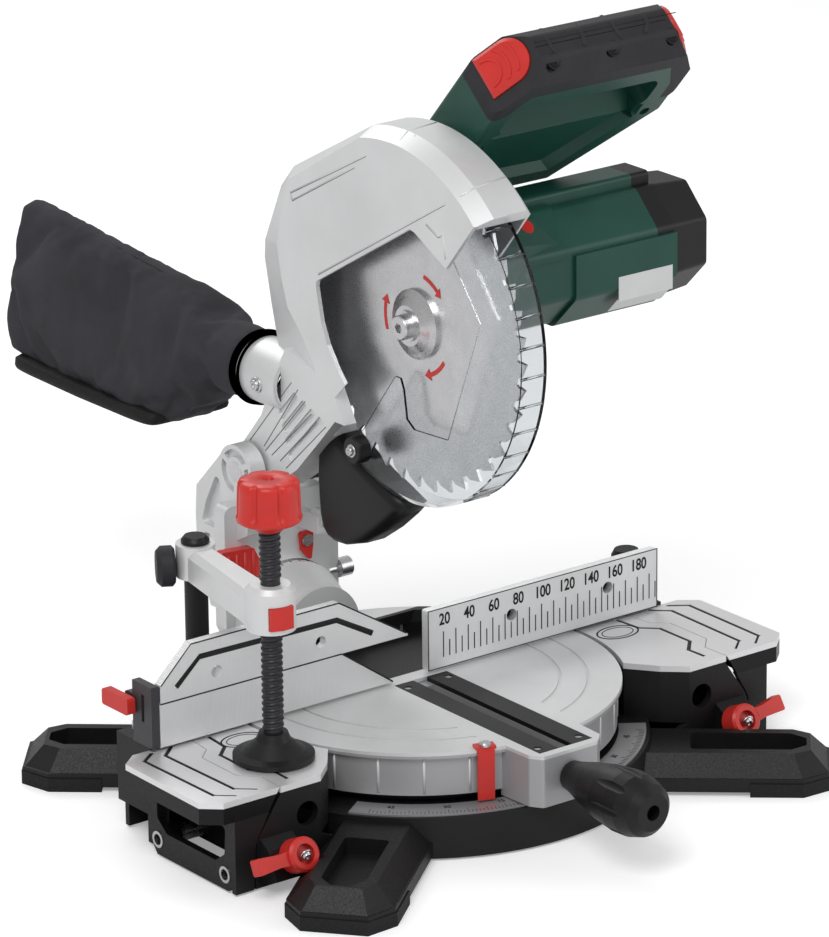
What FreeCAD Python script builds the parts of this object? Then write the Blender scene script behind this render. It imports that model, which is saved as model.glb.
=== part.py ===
# Compound mitre saw: a tilting, chopping saw head on a turntable in a four-footed base.
# Millimetres, +Z up, +X to the operator's right along the fence, the operator stands at -Y.
# Everything is drawn in table coordinates, with the mitre pivot on the table top as zero,
# and moved at export so that the origin is the middle of the four bench bolts on the bench.
import FreeCAD, Part
import math
import os

V = FreeCAD.Vector

# Overall layout
table_height = 64.0        # table top above the bench
pivot_y = 8.0              # mitre pivot behind the middle of the bench bolts
table_radius = 129.7       # turntable lip
table_wall_radius = 126.5
lip_height = 4.0
table_depth = 29.5         # turntable side wall, from the table top down
side_reach = 231.3         # outer edge of the side extensions from the middle
side_front = 93.3          # front edge of the side tables
side_rear = 5.5
head_pivot_y = 147.0
head_pivot_z = 107.0
arm_reach = 150.8          # blade axis in front of the head pivot
arm_rise = 131.0           # blade axis above the head pivot, head raised
blade_diameter = 216.0
blade_thickness = 2.2

# Running fits
running_gap = 0.05
press_gap = 0.02
body_gap = 0.3
slide_gap = 0.6

# Base casting
ring_outer = 149.0
ring_top_radius = 147.5
ring_top = -36.0
ring_inner = 110.0
ring_wall = 4.0
bench_gap = 1.5            # the castings clear the bench, only the rubber feet touch it
rail_inner = 112.0
rail_outer = 116.0
rail_top = -31.0
base_hub_radius = 22.0
pivot_bolt_radius = 6.0
rib_width = 5.0
deck_top = -4.0            # the black casting under the bright side plates
plate_clear_radius = 133.0
fence_seat_top = 1.9
fence_seat_rear = 42.0
fence_seat_end = 205.0

# Bench feet
foot_angle = 40.0
foot_half_width = 34.0
foot_shoulder = 240.0
foot_tip = 257.5
foot_tip_half_width = 21.0
foot_root = 120.0
foot_top = -39.5
foot_edge_top = -52.0
bench_hole_reach = 232.0
bench_hole_radius = 4.5
pocket_half_width = 14.0
pocket_start = 168.0
pocket_floor = -50.0
pad_height = 9.0

# Side extensions
rod_radius = 5.4
rod_bore = 3.6
rod_inner_end = 84.0
rod_outer_end = 212.6
rod_z = -52.4
rod_rows = (-82.0, -10.9)
extension_panel_out = 212.0
extension_panel_wall = 5.0
skirt_bottom = -14.3
plate_thickness = 4.0
groove_depth = 0.8

# Extension lock levers, on an axis that slopes down to the front rod
lever_x = 176.0
lever_tilt = 24.0
lever_face_y = -116.5
lever_face_z = -37.0
lever_head_radius = 11.0
lever_head_length = 13.0
lever_length = 34.0

# Fences
fence_top = 43.0
lower_fence_top = 30.8
fence_bottom = 2.0
fence_thickness = 6.0
right_fence_start = 7.5
right_fence_end = 197.0
left_fence_end = 201.0
fence_hole_radius = 4.0
right_hole_rows = (75.4, 155.0)
right_hole_z = 25.0
fence_screw_rows = (143.0, 166.0)
fence_screw_y = 28.0
sliding_hole_rows = (-157.2, -76.9)
sliding_hole_z = 42.4

# Bevel trunnion and bracket
trunnion_front = 104.0
trunnion_rear = 146.0
trunnion_front_radius = 31.0
trunnion_rear_radius = 39.5
bracket_front = 146.3
bracket_back = 158.0
bevel_bolt_radius = 6.0
pivot_shaft_radius = 7.0
ear_radius = 18.0
left_ear = (-36.0, -24.3)
right_ear = (38.0, 48.0)
arm_hub = (-22.0, 10.0)

# Saw head
guard_radius = 127.5
guard_side_radius = 121.4
guard_cavity_radius = 118.4
guard_left_face = -22.0
guard_left_wall = 3.0
guard_crown_left = -10.0
guard_crown_right = 16.0
guard_right_face = 22.0
motor_dy = -5.0
motor_dz = 25.0
motor_radius = 41.0
motor_start = 22.0
motor_end = 172.0
motor_cap_end = 200.0
motor_split = 158.0        # the black end takes over from here above the seam
motor_seam = 12.0
motor_rail_top = 46.0
lock_x = 60.0
lock_place = (-30.4, 57.7)
lock_radius = 6.0
port_radius = 22.0
port_bore = 19.0
port_x = -6.0
port_dz = -68.0
port_start = 118.0
port_end = 163.0
arm_pockets = 4            # hollows between the ribs on the arm's left side
arm_rib_pitch = 8.5
arm_rib = 2.0
arm_pocket_depth = 1.6
arm_slope = 45.0

# Blade, arbor and gears
arbor_radius = 6.0
bush_radius = 7.0
flange_radius = 22.5
gear_module = 1.0
driven_teeth = 39
pinion_teeth = 12
gear_start = 26.0
gear_width = 8.0

# Lower guard and its link
lower_guard_radius = 115.6
lower_guard_wall = 1.6
lower_guard_half = 10.0
link_pin_radius = 1.5
link_pin_reach = 18.0
link_pin_angle = -112.0
link_ground_dy = -28.0
link_ground_dz = -34.0
link_left = 12.5
link_right = 14.5

# Handle loop, in a plane that leans forward
loop_lean = 42.0
loop_left = 22.0
loop_right = 178.0
loop_front_b = -57.0
loop_rear_b = -97.0
loop_seam_b = -78.0
loop_foot_a = 40.0
loop_body_a = 112.0
loop_top_a = 175.0
loop_round = 4.5
panel_slope = 4.0
panel_depth = 6.0
button_depth = 6.0
button_middle_b = -80.75
button_gap = 0.4
button_travel = 2.5
trigger_left = 73.0
trigger_right = 123.0
trigger_rear_b = -87.6
trigger_front_b = -66.4

# Work clamp
post_x = -135.0
post_y = 52.0
post_radius = 7.5
post_top = 108.0
post_foot = -50.0
spindle_x = -153.0
spindle_y = -53.0
spindle_radius = 6.0
pad_radius = 25.5
clamp_arm_bottom = 86.0
clamp_arm_top = 108.0
knob_bottom = 150.5
knob_top = 183.6
knob_radius = 20.9
arm_knob_rise = 7.0
arm_knob_angle = -110.3    # direction of the arm's own lock knob, from the arm about its post

# Mitre grip
grip_start = -157.0
grip_end = -236.0
grip_z = -17.0

floor = -table_height
hub_y = head_pivot_y - arm_reach
hub_z = head_pivot_z + arm_rise
bench_shift = V(0, pivot_y, table_height)


def dot(a, b):
    return a[0] * b[0] + a[1] * b[1]


# A corner of an outline, rounded by a tangent arc: two end points and the middle of the arc.
def corner_arc(before, corner, after, radius, share):
    to_before = (before[0] - corner[0], before[1] - corner[1])
    to_after = (after[0] - corner[0], after[1] - corner[1])
    length_a = math.hypot(*to_before)
    length_b = math.hypot(*to_after)
    ua = (to_before[0] / length_a, to_before[1] / length_a)
    ub = (to_after[0] / length_b, to_after[1] / length_b)
    half = math.acos(max(-1.0, min(1.0, dot(ua, ub)))) / 2
    if radius <= 0 or half > math.radians(88):
        return None
    tangent = min(radius / math.tan(half), share * length_a, share * length_b)
    radius = tangent * math.tan(half)
    middle = (ua[0] + ub[0], ua[1] + ub[1])
    size = math.hypot(*middle)
    reach = radius / math.sin(half) - radius
    start = (corner[0] + ua[0] * tangent, corner[1] + ua[1] * tangent)
    mid = (corner[0] + middle[0] / size * reach, corner[1] + middle[1] / size * reach)
    end = (corner[0] + ub[0] * tangent, corner[1] + ub[1] * tangent)
    return start, mid, end


# Table coordinates of a point in a plane: "xy", "xz" or "yz", and how far along the third axis.
def in_plane(plane, point, level):
    u, v = point
    if plane == "xy":
        return V(u, v, level)
    if plane == "xz":
        return V(u, level, v)
    return V(level, u, v)


# Closed outline with rounded corners. A point may carry its own corner radius as a third value,
# and its arc may then take up the whole of the lines beside it.
def outline(points, plane, level, radius=0.0):
    corners = []
    count = len(points)
    for i in range(count):
        here = points[i]
        own, share = (here[2], 1.0) if len(here) > 2 else (radius, 0.45)
        arc = corner_arc(points[i - 1][:2], here[:2], points[(i + 1) % count][:2], own, share)
        corners.append(arc or (here[:2],))
    edges = []
    for i in range(count):
        this = [in_plane(plane, p, level) for p in corners[i]]
        following = in_plane(plane, corners[(i + 1) % count][0], level)
        if len(this) == 3:
            edges.append(Part.Arc(this[0], this[1], this[2]).toShape())
        if this[-1].distanceToPoint(following) > 1e-6:
            edges.append(Part.LineSegment(this[-1], following).toShape())
    return Part.Wire(edges)


def prism(points, plane, start, end, radius=0.0):
    direction = {"xy": V(0, 0, 1), "xz": V(0, 1, 0), "yz": V(1, 0, 0)}[plane]
    face = Part.Face(outline(points, plane, start, radius))
    return face.extrude(direction * (end - start))


def box(x0, x1, y0, y1, z0, z1):
    return Part.makeBox(x1 - x0, y1 - y0, z1 - z0, V(x0, y0, z0))


def rod(start, end, radius):
    start, end = V(*start), V(*end)
    return Part.makeCylinder(radius, start.distanceToPoint(end), start, end - start)


# Body of revolution from (radius, height) points, standing at a place along a direction.
def turned(profile, place=(0, 0, 0), direction=(0, 0, 1), angle=360):
    points = [V(r, 0, h) for r, h in profile]
    face = Part.Face(Part.makePolygon(points + points[:1]))
    body = face.revolve(V(0, 0, 0), V(0, 0, 1), angle)
    body.Placement = FreeCAD.Placement(V(*place), FreeCAD.Rotation(V(0, 0, 1), V(*direction)))
    return body


def loft(wires):
    return Part.makeLoft(wires, True, True)


def join(shapes):
    first = shapes[0]
    if len(shapes) == 1:
        return first
    return first.fuse(shapes[1:]).removeSplitter()


def moved(shape, x=0, y=0, z=0):
    copy = shape.copy()
    copy.translate(V(x, y, z))
    return copy


def turned_about(shape, place, direction, angle):
    copy = shape.copy()
    copy.rotate(V(*place), V(*direction), angle)
    return copy


def mirrored(shape):
    return shape.mirror(V(0, 0, 0), V(1, 0, 0))


def polar(radius, degrees):
    return radius * math.cos(math.radians(degrees)), radius * math.sin(math.radians(degrees))


# The same shape in bodies that meet face to face, one or more for each region.
def sliced(shape, regions):
    return Part.makeCompound([solid for region in regions for solid in shape.common(region).Solids])


# Points on an arc about the origin of a plane, ends included.
def arc_points(radius, first, last, steps):
    return [polar(radius, first + (last - first) * i / steps) for i in range(steps + 1)]


def save(name, shape):
    os.makedirs("parts", exist_ok=True)
    shape = shape.copy()
    shape.translate(bench_shift)
    shape.exportStep("parts/" + name + ".step")


# From here on, hub coordinates are (dy, dz) from the blade axis with the head raised.
def hub(dy, dz):
    return hub_y + dy, hub_z + dz


def hub_points(points):
    return [(hub_y + p[0], hub_z + p[1]) + tuple(p[2:]) for p in points]


# Loop coordinates: x, a up the leaning handle, b square to it. A shape drawn with them as
# its three coordinates is put in its place on the saw.
def on_loop(shape):
    rise, run = math.cos(math.radians(loop_lean)), math.sin(math.radians(loop_lean))
    place = FreeCAD.Placement(FreeCAD.Matrix(
        1, 0, 0, 0,
        0, -run, -rise, hub_y,
        0, rise, -run, hub_z,
        0, 0, 0, 1,
    ))
    placed = shape.copy()
    placed.Placement = place.multiply(shape.Placement)
    return placed


# Sharp outlines shared by the fixed side plates, the extensions and the casting below them.
parting = [
    (177.3, -side_front), (176.4, -73.2), (187.1, -61.7), (186.9, -25.1),
    (176.8, -15.4), (175.1, 1.2), (173.5, side_rear),
]


def side_plate_outline(inset=0.0):
    edge = [(x - inset, y) for x, y in parting]
    edge[0] = (edge[0][0], -side_front + inset)
    edge[-1] = (edge[-1][0], side_rear - inset)
    radius = plate_clear_radius + inset
    start = math.degrees(math.asin((side_rear - inset) / radius))
    arc = arc_points(radius, start, -27.6, 8)
    front = [(132.6 + inset, -80.6 + inset / 2), (147.0 + inset / 2, -side_front + inset)]
    return edge + arc + front


def base_side():
    wall_bottom = floor + bench_gap
    body = prism(side_plate_outline(0.3), "xy", ring_top - 3, deck_top)
    pocket = prism(side_plate_outline(ring_wall), "xy", ring_top - 4, deck_top - 5)
    body = body.cut(pocket)
    front = prism(
        [(128, wall_bottom), (197.2, wall_bottom), (195.4, -33), (193.4, -28.5), (176.7, deck_top - 0.3),
         (147, deck_top - 0.3), (147, -38.5), (136, -44)],
        "xz", -side_front + 0.3, -side_front + 5.3,
    )
    rear = prism(
        [(128, wall_bottom), (197.2, wall_bottom), (195.4, -33), (193.4, -28.5), (180, -18.5), (172,
            deck_top - 0.3),
         (134, deck_top - 0.3)],
        "xz", side_rear - 6, side_rear,
    )
    guides = [box(x, x + 8, -side_front + 4, side_rear, wall_bottom, -44) for x in (150.0, 168.0)]
    seat_front = side_rear + 0.4
    seat = box(128, fence_seat_end, seat_front, fence_seat_rear, ring_top - 8, fence_seat_top)
    seat = seat.cut(box(140, fence_seat_end - 4, seat_front + 4, fence_seat_rear - 4, ring_top - 9,
        fence_seat_top - 5))
    skirt = box(140, fence_seat_end, seat_front, seat_front + 4, wall_bottom, ring_top)
    skirt = join([skirt, box(134, 170, 0, seat_front + 2, wall_bottom, deck_top - 0.3),
                  box(140, 200, fence_seat_rear - 4, fence_seat_rear, wall_bottom, ring_top)])
    boss = prism(
        [(-side_front + 1, -30.5), (-101.4, -36), (-109.4, -54), (-side_front + 1, -61)],
        "yz", 169, 193,
    )
    side = join([body, front, rear, seat, skirt, boss] + guides)
    side = side.cut(rod((157.3, -side_front - 1, -22.7), (157.3, -side_front + 8, -22.7), 8.0))
    side = side.cut(rod((0, 0, -80), (0, 0, 20), table_radius + 2.2))
    return side


def foot():
    wall_bottom = floor + 3.0
    edge = [
        (foot_root, -foot_half_width), (foot_shoulder, -foot_half_width), (foot_tip, -foot_tip_half_width),
        (foot_tip, foot_tip_half_width), (foot_shoulder, foot_half_width), (foot_root, foot_half_width),
    ]
    slab = prism(edge, "xy", wall_bottom, foot_edge_top)

    def ring_at(inset, level):
        points = [
            (foot_root, -foot_half_width + inset), (foot_shoulder - inset / 2, -foot_half_width + inset),
            (foot_tip - inset, -foot_tip_half_width + inset / 2), (foot_tip - inset,
                foot_tip_half_width - inset / 2),
            (foot_shoulder - inset / 2, foot_half_width - inset), (foot_root, foot_half_width - inset),
        ]
        return outline(points, "xy", level)

    crown = loft([ring_at(1.5, foot_edge_top), ring_at(13.0, foot_top)])
    body = slab.fuse(crown)
    pocket = prism(
        [(pocket_start, -pocket_half_width), (bench_hole_reach, -pocket_half_width),
         (bench_hole_reach + 10, -6), (bench_hole_reach + 10, 6),
         (bench_hole_reach, pocket_half_width), (pocket_start, pocket_half_width)],
        "xy", pocket_floor, foot_top + 1, 3,
    )
    hollow = box(ring_top_radius + 4, foot_shoulder - 22, -foot_half_width + 5, foot_half_width - 5,
        floor - 1, pocket_floor - 4)
    body = body.cut([pocket, hollow])
    body = body.cut(rod((bench_hole_reach, 0, floor), (bench_hole_reach, 0, 0), bench_hole_radius))
    return body


def at_feet(shape):
    placed = []
    for angle in (foot_angle, 180 - foot_angle, 180 + foot_angle, -foot_angle):
        placed.append(moved(turned_about(shape, (0, 0, 0), (0, 0, 1), angle), 0, -pivot_y, 0))
    return placed


def make_base():
    bottom = floor + bench_gap
    section = [
        (ring_inner, bottom + 4), (ring_inner, ring_top), (rail_inner, ring_top), (rail_inner, rail_top),
        (rail_outer, rail_top), (rail_outer, ring_top), (ring_top_radius, ring_top), (ring_outer, bottom),
        (ring_outer - ring_wall, bottom), (ring_top_radius - ring_wall, ring_top - ring_wall),
        (ring_inner + ring_wall, ring_top - ring_wall), (ring_inner + ring_wall, bottom + 4),
    ]
    ring = turned(section)
    hub_tube = turned([
        (pivot_bolt_radius + running_gap, bottom + 6), (base_hub_radius, bottom + 6),
        (base_hub_radius, rail_top), (pivot_bolt_radius + running_gap, rail_top),
    ])
    ribs = []
    for k in range(6):
        rib = box(base_hub_radius - 2, ring_inner + 2, -rib_width / 2, rib_width / 2, bottom + 6, -42)
        ribs.append(turned_about(rib, (0, 0, 0), (0, 0, 1), 30 + 60 * k))
    right = base_side()
    feet = [f.cut(rod((0, 0, floor - 1), (0, 0, 0), ring_outer - ring_wall / 2)) for f in at_feet(foot())]
    socket = turned([(post_radius + running_gap, post_foot - 6), (11.0, post_foot - 6), (11.0,
        fence_seat_top + 4),
                     (post_radius + running_gap, fence_seat_top + 4)], (post_x, post_y, 0))
    sockets = [socket, mirrored(socket)]
    casting = join([ring, hub_tube, right, mirrored(right)] + ribs + feet)
    holes = []
    for sign in (-1, 1):
        holes.append(rod((sign * -post_x, post_y, -80), (sign * -post_x, post_y, 40), 10.5))
        for row in rod_rows:
            holes.append(rod((sign * 60, row, rod_z), (sign * 149.9, row, rod_z), rod_radius + 1))
            holes.append(rod((sign * 149.8, row, rod_z), (sign * 240, row, rod_z), rod_radius + running_gap))
        for x in fence_screw_rows:
            holes.append(rod((sign * x, fence_screw_y, -12), (sign * x, fence_screw_y, 4), 3.3))
    casting = casting.cut(holes)
    casting = casting.fuse(sockets)
    knob = turned([(0, -6), (10, -6), (10, 30), (8, 33.8), (0, 33.8)], (196.0, 31.0, 0))
    casting = join([casting, knob])
    screws = []
    for sign in (-1, 1):
        axis = lever_axis(sign)
        screws.append(Part.makeCylinder(3.05, 60, axis[0] - axis[1] * 20, axis[1]))
        screws.append(Part.makeCylinder(lever_head_radius + 0.5, lever_head_length + 5.2,
            axis[0] - axis[1] * 5, axis[1]))
    reach = bench_hole_reach + 40
    hub_room = rod((0, 0, floor), (0, 0, head_pivot_z), base_hub_radius)
    plates_inner = rod((0, 0, floor), (0, 0, head_pivot_z), rail_outer + 1)
    low_inner = rod((0, 0, floor), (0, 0, ring_top), ring_inner)
    low_outer = rod((0, 0, floor), (0, 0, ring_top), ring_outer)
    regions = [hub_room, low_inner.cut(hub_room)]
    for x0, x1 in ((-reach, 0), (0, reach)):
        regions.append(box(x0, x1, -reach, reach, ring_top, head_pivot_z).cut(plates_inner))
    for k in range(8):
        wedge = [(0, 0)] + [polar(reach * 2, 45 * k + turn) for turn in (-22.5, 22.5)]
        regions.append(prism(wedge, "xy", ring_top, head_pivot_z).common(plates_inner.cut(hub_room)))
        regions.append(prism(wedge, "xy", floor, ring_top).common(low_outer.cut(low_inner)))
    for x0, x1 in ((-reach, 0), (0, reach)):
        for y0, y1 in ((-reach, -pivot_y), (-pivot_y, reach)):
            regions.append(box(x0, x1, y0, y1, floor, ring_top).cut(low_outer))
    return sliced(casting.cut(screws), regions)


def lever_axis(sign):
    tilt = math.radians(lever_tilt)
    return V(sign * lever_x, lever_face_y, lever_face_z), V(0, math.cos(tilt), -math.sin(tilt))


def make_rubber_feet():
    edge = [
        (206.0, -foot_half_width - 1), (foot_shoulder, -foot_half_width - 1), (foot_tip + 1,
            -foot_tip_half_width),
        (foot_tip + 1, foot_tip_half_width), (foot_shoulder, foot_half_width + 1), (206.0,
            foot_half_width + 1),
    ]
    pad = prism(edge, "xy", floor, floor + pad_height)
    inner = [
        (200.0, -foot_half_width), (foot_shoulder, -foot_half_width), (foot_tip, -foot_tip_half_width),
        (foot_tip, foot_tip_half_width), (foot_shoulder, foot_half_width), (200.0, foot_half_width),
    ]
    pad = pad.cut(prism(inner, "xy", floor + 3.0, floor + 20))
    pad = pad.cut(rod((bench_hole_reach, 0, floor - 1), (bench_hole_reach, 0, floor + 9), bench_hole_radius))
    return Part.makeCompound(at_feet(pad))


def make_side_plate():
    plate = prism(side_plate_outline(), "xy", deck_top, 0)
    groove = zigzag_groove([(166.0, -84.0), (165.4, -70.0), (176.0, -58.5), (175.8, -28.4), (165.6, -18.6),
        (163.8, 2.0)])
    return plate.cut(groove)


def zigzag_groove(points, width=2.6):
    tools = []
    for (x0, y0), (x1, y1) in zip(points, points[1:]):
        length = math.hypot(x1 - x0, y1 - y0)
        angle = math.degrees(math.atan2(y1 - y0, x1 - x0))
        bar = box(-width / 2, length + width / 2, -width / 2, width / 2, -groove_depth, 1)
        tools.append(moved(turned_about(bar, (0, 0, 0), (0, 0, 1), angle), x0, y0, 0))
    return tools


def extension_outline(inset=0.0, gap=slide_gap):
    edge = [(x + gap + inset, y) for x, y in parting]
    edge[0] = (edge[0][0], -side_front + inset)
    edge[-1] = (edge[-1][0], side_rear - inset)
    rest = [
        (218.3 - inset / 2, side_rear - inset), (230.2 - inset, -4.1 - inset / 2),
        (side_reach - inset, -83.2 + inset / 2), (220.0 - inset / 2, -side_front + inset),
    ]
    return edge + rest


def make_extension_top():
    skin = prism(extension_outline(), "xy", skirt_bottom, 0)
    inside = prism(extension_outline(3.0, slide_gap - 20), "xy", skirt_bottom - 1, -plate_thickness)
    rear_open = box(150, 225, 0, side_rear + 1, skirt_bottom - 1, -plate_thickness)
    front_slope = prism(
        [(150, 0.5 - plate_thickness / 4), (178.2, -0.5), (187.2, skirt_bottom - 1), (150,
            skirt_bottom - 1)],
        "xz", -side_front - 1, -side_front + 4,
    )
    skin = skin.cut([inside, rear_open, front_slope])
    grooves = zigzag_groove([(201.3, -77.8), (202.8, -7.9), (191.4, 2.3)])
    grooves += zigzag_groove([(190.7, -87.2), (201.3, -77.8)], 1.6)
    grooves += zigzag_groove([(217.1, -78.6), (218.2, -7.3), (206.6, 1.1)])
    grooves += zigzag_groove([(206.9, -87.7), (217.1, -78.6)], 1.6)
    return skin.cut(grooves)


def make_extension_frame():
    inner = extension_panel_out - extension_panel_wall
    panel = prism(
        [(-0.4, skirt_bottom - 0.1), (-0.4, -51), (-9.7, -62.5), (-85.1, -62.5), (-side_front, -56),
            (-side_front, skirt_bottom - 0.1)],
        "yz", inner, extension_panel_out,
    )
    window = prism(
        [(-10.5, -21), (-10.5, -38), (-20.4, -46), (-72.3, -46), (-81.8, -39.1), (-83.2, -21)],
        "yz", inner - 1, extension_panel_out + 1, 3,
    )
    front = prism(
        [(186.2, skirt_bottom - 0.1), (194.6, -29), (196.6, -33.5), (198.4, -62.5), (extension_panel_out,
            -62.5),
         (extension_panel_out, skirt_bottom - 0.1)],
        "xz", -side_front, -side_front + 4,
    )
    top = box(197, extension_panel_out, -side_front, -0.4, skirt_bottom - 4, skirt_bottom - 0.1)
    ledge = box(202, 206, -84, -8, skirt_bottom - 1, -plate_thickness)
    bosses = [rod((inner - 8, row, rod_z), (inner, row, rod_z), rod_radius + 3.2) for row in rod_rows]
    frame = join([panel.cut(window), front, top, ledge] + bosses)
    sockets = [rod((inner - 9, row, rod_z), (extension_panel_out + 1, row, rod_z),
        rod_radius) for row in rod_rows]
    return frame.cut(sockets)


def make_extension_rods():
    rods = []
    for row in rod_rows:
        tube = rod((rod_inner_end, row, rod_z), (rod_outer_end, row, rod_z), rod_radius)
        rods.append(tube.cut(rod((rod_outer_end - 30, row, rod_z), (rod_outer_end + 1, row, rod_z),
            rod_bore)))
    return Part.makeCompound(rods)


# The red lever of one extension lock, drawn on its own axis and then tipped into place.
def make_lock_lever(sign, angle):
    head = turned([(3.0, 0), (lever_head_radius, 0), (lever_head_radius, lever_head_length - 1.5),
                   (lever_head_radius - 1.5, lever_head_length), (6.5, lever_head_length),
                   (6.5, lever_head_length - 4), (3.0, lever_head_length - 4)])
    grip = prism([(6, -5), (17, -4), (lever_length, -5.5), (lever_length, 5.5), (17, 4), (6, 5)], "xy", 3,
        10, 1.5)
    shank = rod((0, 0, lever_head_length - 32.2), (0, 0, lever_head_length - 4), 2.95)
    lever = join([head, grip.cut(rod((0, 0, -1), (0, 0, 20), 8.0)), shank])
    lever.rotate(V(0, 0, 0), V(0, 0, 1), angle)
    place, axis = lever_axis(sign)
    foot_place = place + axis * lever_head_length
    lever.Placement = FreeCAD.Placement(foot_place, FreeCAD.Rotation(V(0, 0, 1),
        axis * -1)).multiply(lever.Placement)
    return lever


def make_turntable():
    wall_in = table_wall_radius - 4
    disc = turned([
        (0, -8), (wall_in, -8), (wall_in, -table_depth), (table_wall_radius, -table_depth),
        (table_wall_radius, -lip_height), (table_radius, -lip_height), (table_radius, 0), (0, 0),
    ])
    block = prism(
        [(-30, -110), (-28, -148), (-22.5, -156), (-6, -156), (5, -156), (20, -156), (28.5, -148), (30,
            -110)],
        "xy", -34.0, 0, 3,
    )
    block = block.cut(box(-24, 24, -148, -100, -36, -8))
    block = block.cut(rod((0, 0, -60), (0, 0, -8.0), table_wall_radius - 1))
    slide = turned([(rail_inner - 1, rail_top + running_gap), (rail_outer + 1, rail_top + running_gap),
                    (rail_outer + 1, -6), (rail_inner - 1, -6)])
    hub_body = turned([(0, -30.9), (20, -30.9), (20, -6), (0, -6)])
    ribs = []
    for k in range(8):
        rib = box(15, table_wall_radius - 2, -2, 2, -26, -6)
        ribs.append(turned_about(rib, (0, 0, 0), (0, 0, 1), 22.5 + 45 * k))
    trunnion = turned(
        [(0, 60), (trunnion_front_radius, 60), (trunnion_front_radius, trunnion_front + 4),
         (trunnion_front_radius + 2, trunnion_front + 12),
         (trunnion_rear_radius, trunnion_rear - 12), (trunnion_rear_radius, trunnion_rear), (0,
             trunnion_rear)],
        (0, 0, 0), (0, 1, 0),
    )
    trunnion = trunnion.common(box(-60, 60, trunnion_front, 170, -table_depth, 60))
    table = join([disc, block, slide, hub_body, trunnion] + ribs)
    pan = turned([(0, -14.0), (table_radius - 9, -14.0), (table_radius - 6, 1), (0, 1)])
    pan = pan.common(box(-130, 130, 10, trunnion_front - 4, -20, 5))
    floor_disc = turned([(20, -18), (wall_in + 1, -18), (wall_in + 1, -14.0), (20, -14.0)])
    floor_disc = floor_disc.common(box(-130, 130, 8, trunnion_front, -20, 5))
    table = join([table.cut(pan), floor_disc])
    slot = box(-6, 5, -148, -10, -table_depth - 6, 1)
    seat = box(-21, 21, -150, -1.5, -3.05, 1)
    bolt = rod((0, 0, -40), (0, 0, -13.9), pivot_bolt_radius + running_gap)
    bevel_bore = rod((0, 90, 0), (0, 160, 0), bevel_bolt_radius)
    grip_bore = rod((-1, -160, grip_z), (-1, -119, grip_z), 5.0 + running_gap)
    grip_boss = rod((-1, -155.8, grip_z), (-1, -118, grip_z), 10.5)
    table = join([table, grip_boss]).cut([slot, seat, bolt, bevel_bore, grip_bore])
    grooves = []
    for radius in (90.0, 108.0):
        ring = turned([(radius - 1, -0.9), (radius + 1, -0.9), (radius + 1, 1), (radius - 1, 1)])
        grooves.append(ring.cut(box(-33.6, 33.6, -130, 0, -5, 5)).common(box(-130, 130, -130, 9, -5, 5)))
    reach = ring_outer + 20
    low = -ring_outer
    deck = -8.0            # underside of the table plate
    regions = [box(-reach, -6, -reach, -10, deck, 5), box(-6, 5, -reach, -10, deck, 5),
               box(5, reach, -reach, -10, deck, 5), box(-reach, reach, -10, trunnion_front, deck, 5)]
    hub_room = rod((0, 0, low), (0, 0, deck), 20)
    rib_room = rod((0, 0, low), (0, 0, deck), rail_inner - 1)
    front = box(-reach, reach, -reach, trunnion_front, low, deck)
    regions += [hub_room, rib_room.cut(hub_room).common(front)]
    for k in range(8):
        wedge = [(0, 0)] + [polar(reach * 2, 45 * k + turn) for turn in (-22.5, 22.5)]
        regions.append(prism(wedge, "xy", low, deck).common(front).cut(rib_room))
    regions.append(box(-reach, reach, trunnion_front, reach, low, reach))
    return sliced(table.cut(grooves), regions)


def make_kerf_insert(sign):
    edge = 5.0 if sign > 0 else 6.0
    outer = 20.8
    plate = prism([(sign * edge, -149.5), (sign * outer, -149.5), (sign * outer, -2.0), (sign * edge,
        -2.0)], "xy", -3.0, 0)
    holes = [rod((sign * 16.2, y, -4), (sign * 16.2, y, 1), 2.6) for y in (-142.0, -10.0)]
    return plate.cut(holes)


def make_table_fasteners():
    screws = [make_pointer_screw(), make_trunnion_bolt()]
    for sign in (-1, 1):
        for y in (-142.0, -10.0):
            screws.append(turned([(0, -3.0), (2.55, -3.0), (2.55, -0.6), (0, -0.6)], (sign * 16.2, y, 0)))
    return Part.makeCompound(screws)


def make_mitre_scale():
    strip = turned([(table_wall_radius + 0.8, ring_top), (145.0, ring_top), (145.0, ring_top + 1.2),
        (table_wall_radius + 0.8, ring_top + 1.2)])
    wedge = prism([(0, 0), polar(300, -90 - 55), (0, -400), polar(300, -90 + 55)], "xy", -60, 0)
    return strip.common(wedge)


def make_mitre_pointer():
    x, y = -42.3, -123.7
    angle = math.degrees(math.atan2(y, x))
    radius = math.hypot(x, y)
    top = box(radius - 7, radius + 0.65, -6.5, 6.5, 0, 2.0)
    blade = box(radius - 0.6, radius + 0.65, -5.5, 5.5, -33.5, 0.5)
    pointer = top.fuse(blade)
    pointer = pointer.cut(rod((radius - 2, 0, -1), (radius - 2, 0, 4), 2.1))
    return turned_about(pointer, (0, 0, 0), (0, 0, 1), angle)


def make_pointer_screw():
    x, y = -42.3, -123.7
    angle = math.degrees(math.atan2(y, x))
    radius = math.hypot(x, y)
    screw = turned([(0, 0.0), (2.0, 0.0), (2.0, 2.0), (4.0, 2.0), (4.0, 3.4), (3.2, 4.2), (0, 4.2)],
        (radius - 2, 0, 0))
    return turned_about(screw, (0, 0, 0), (0, 0, 1), angle)


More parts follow.
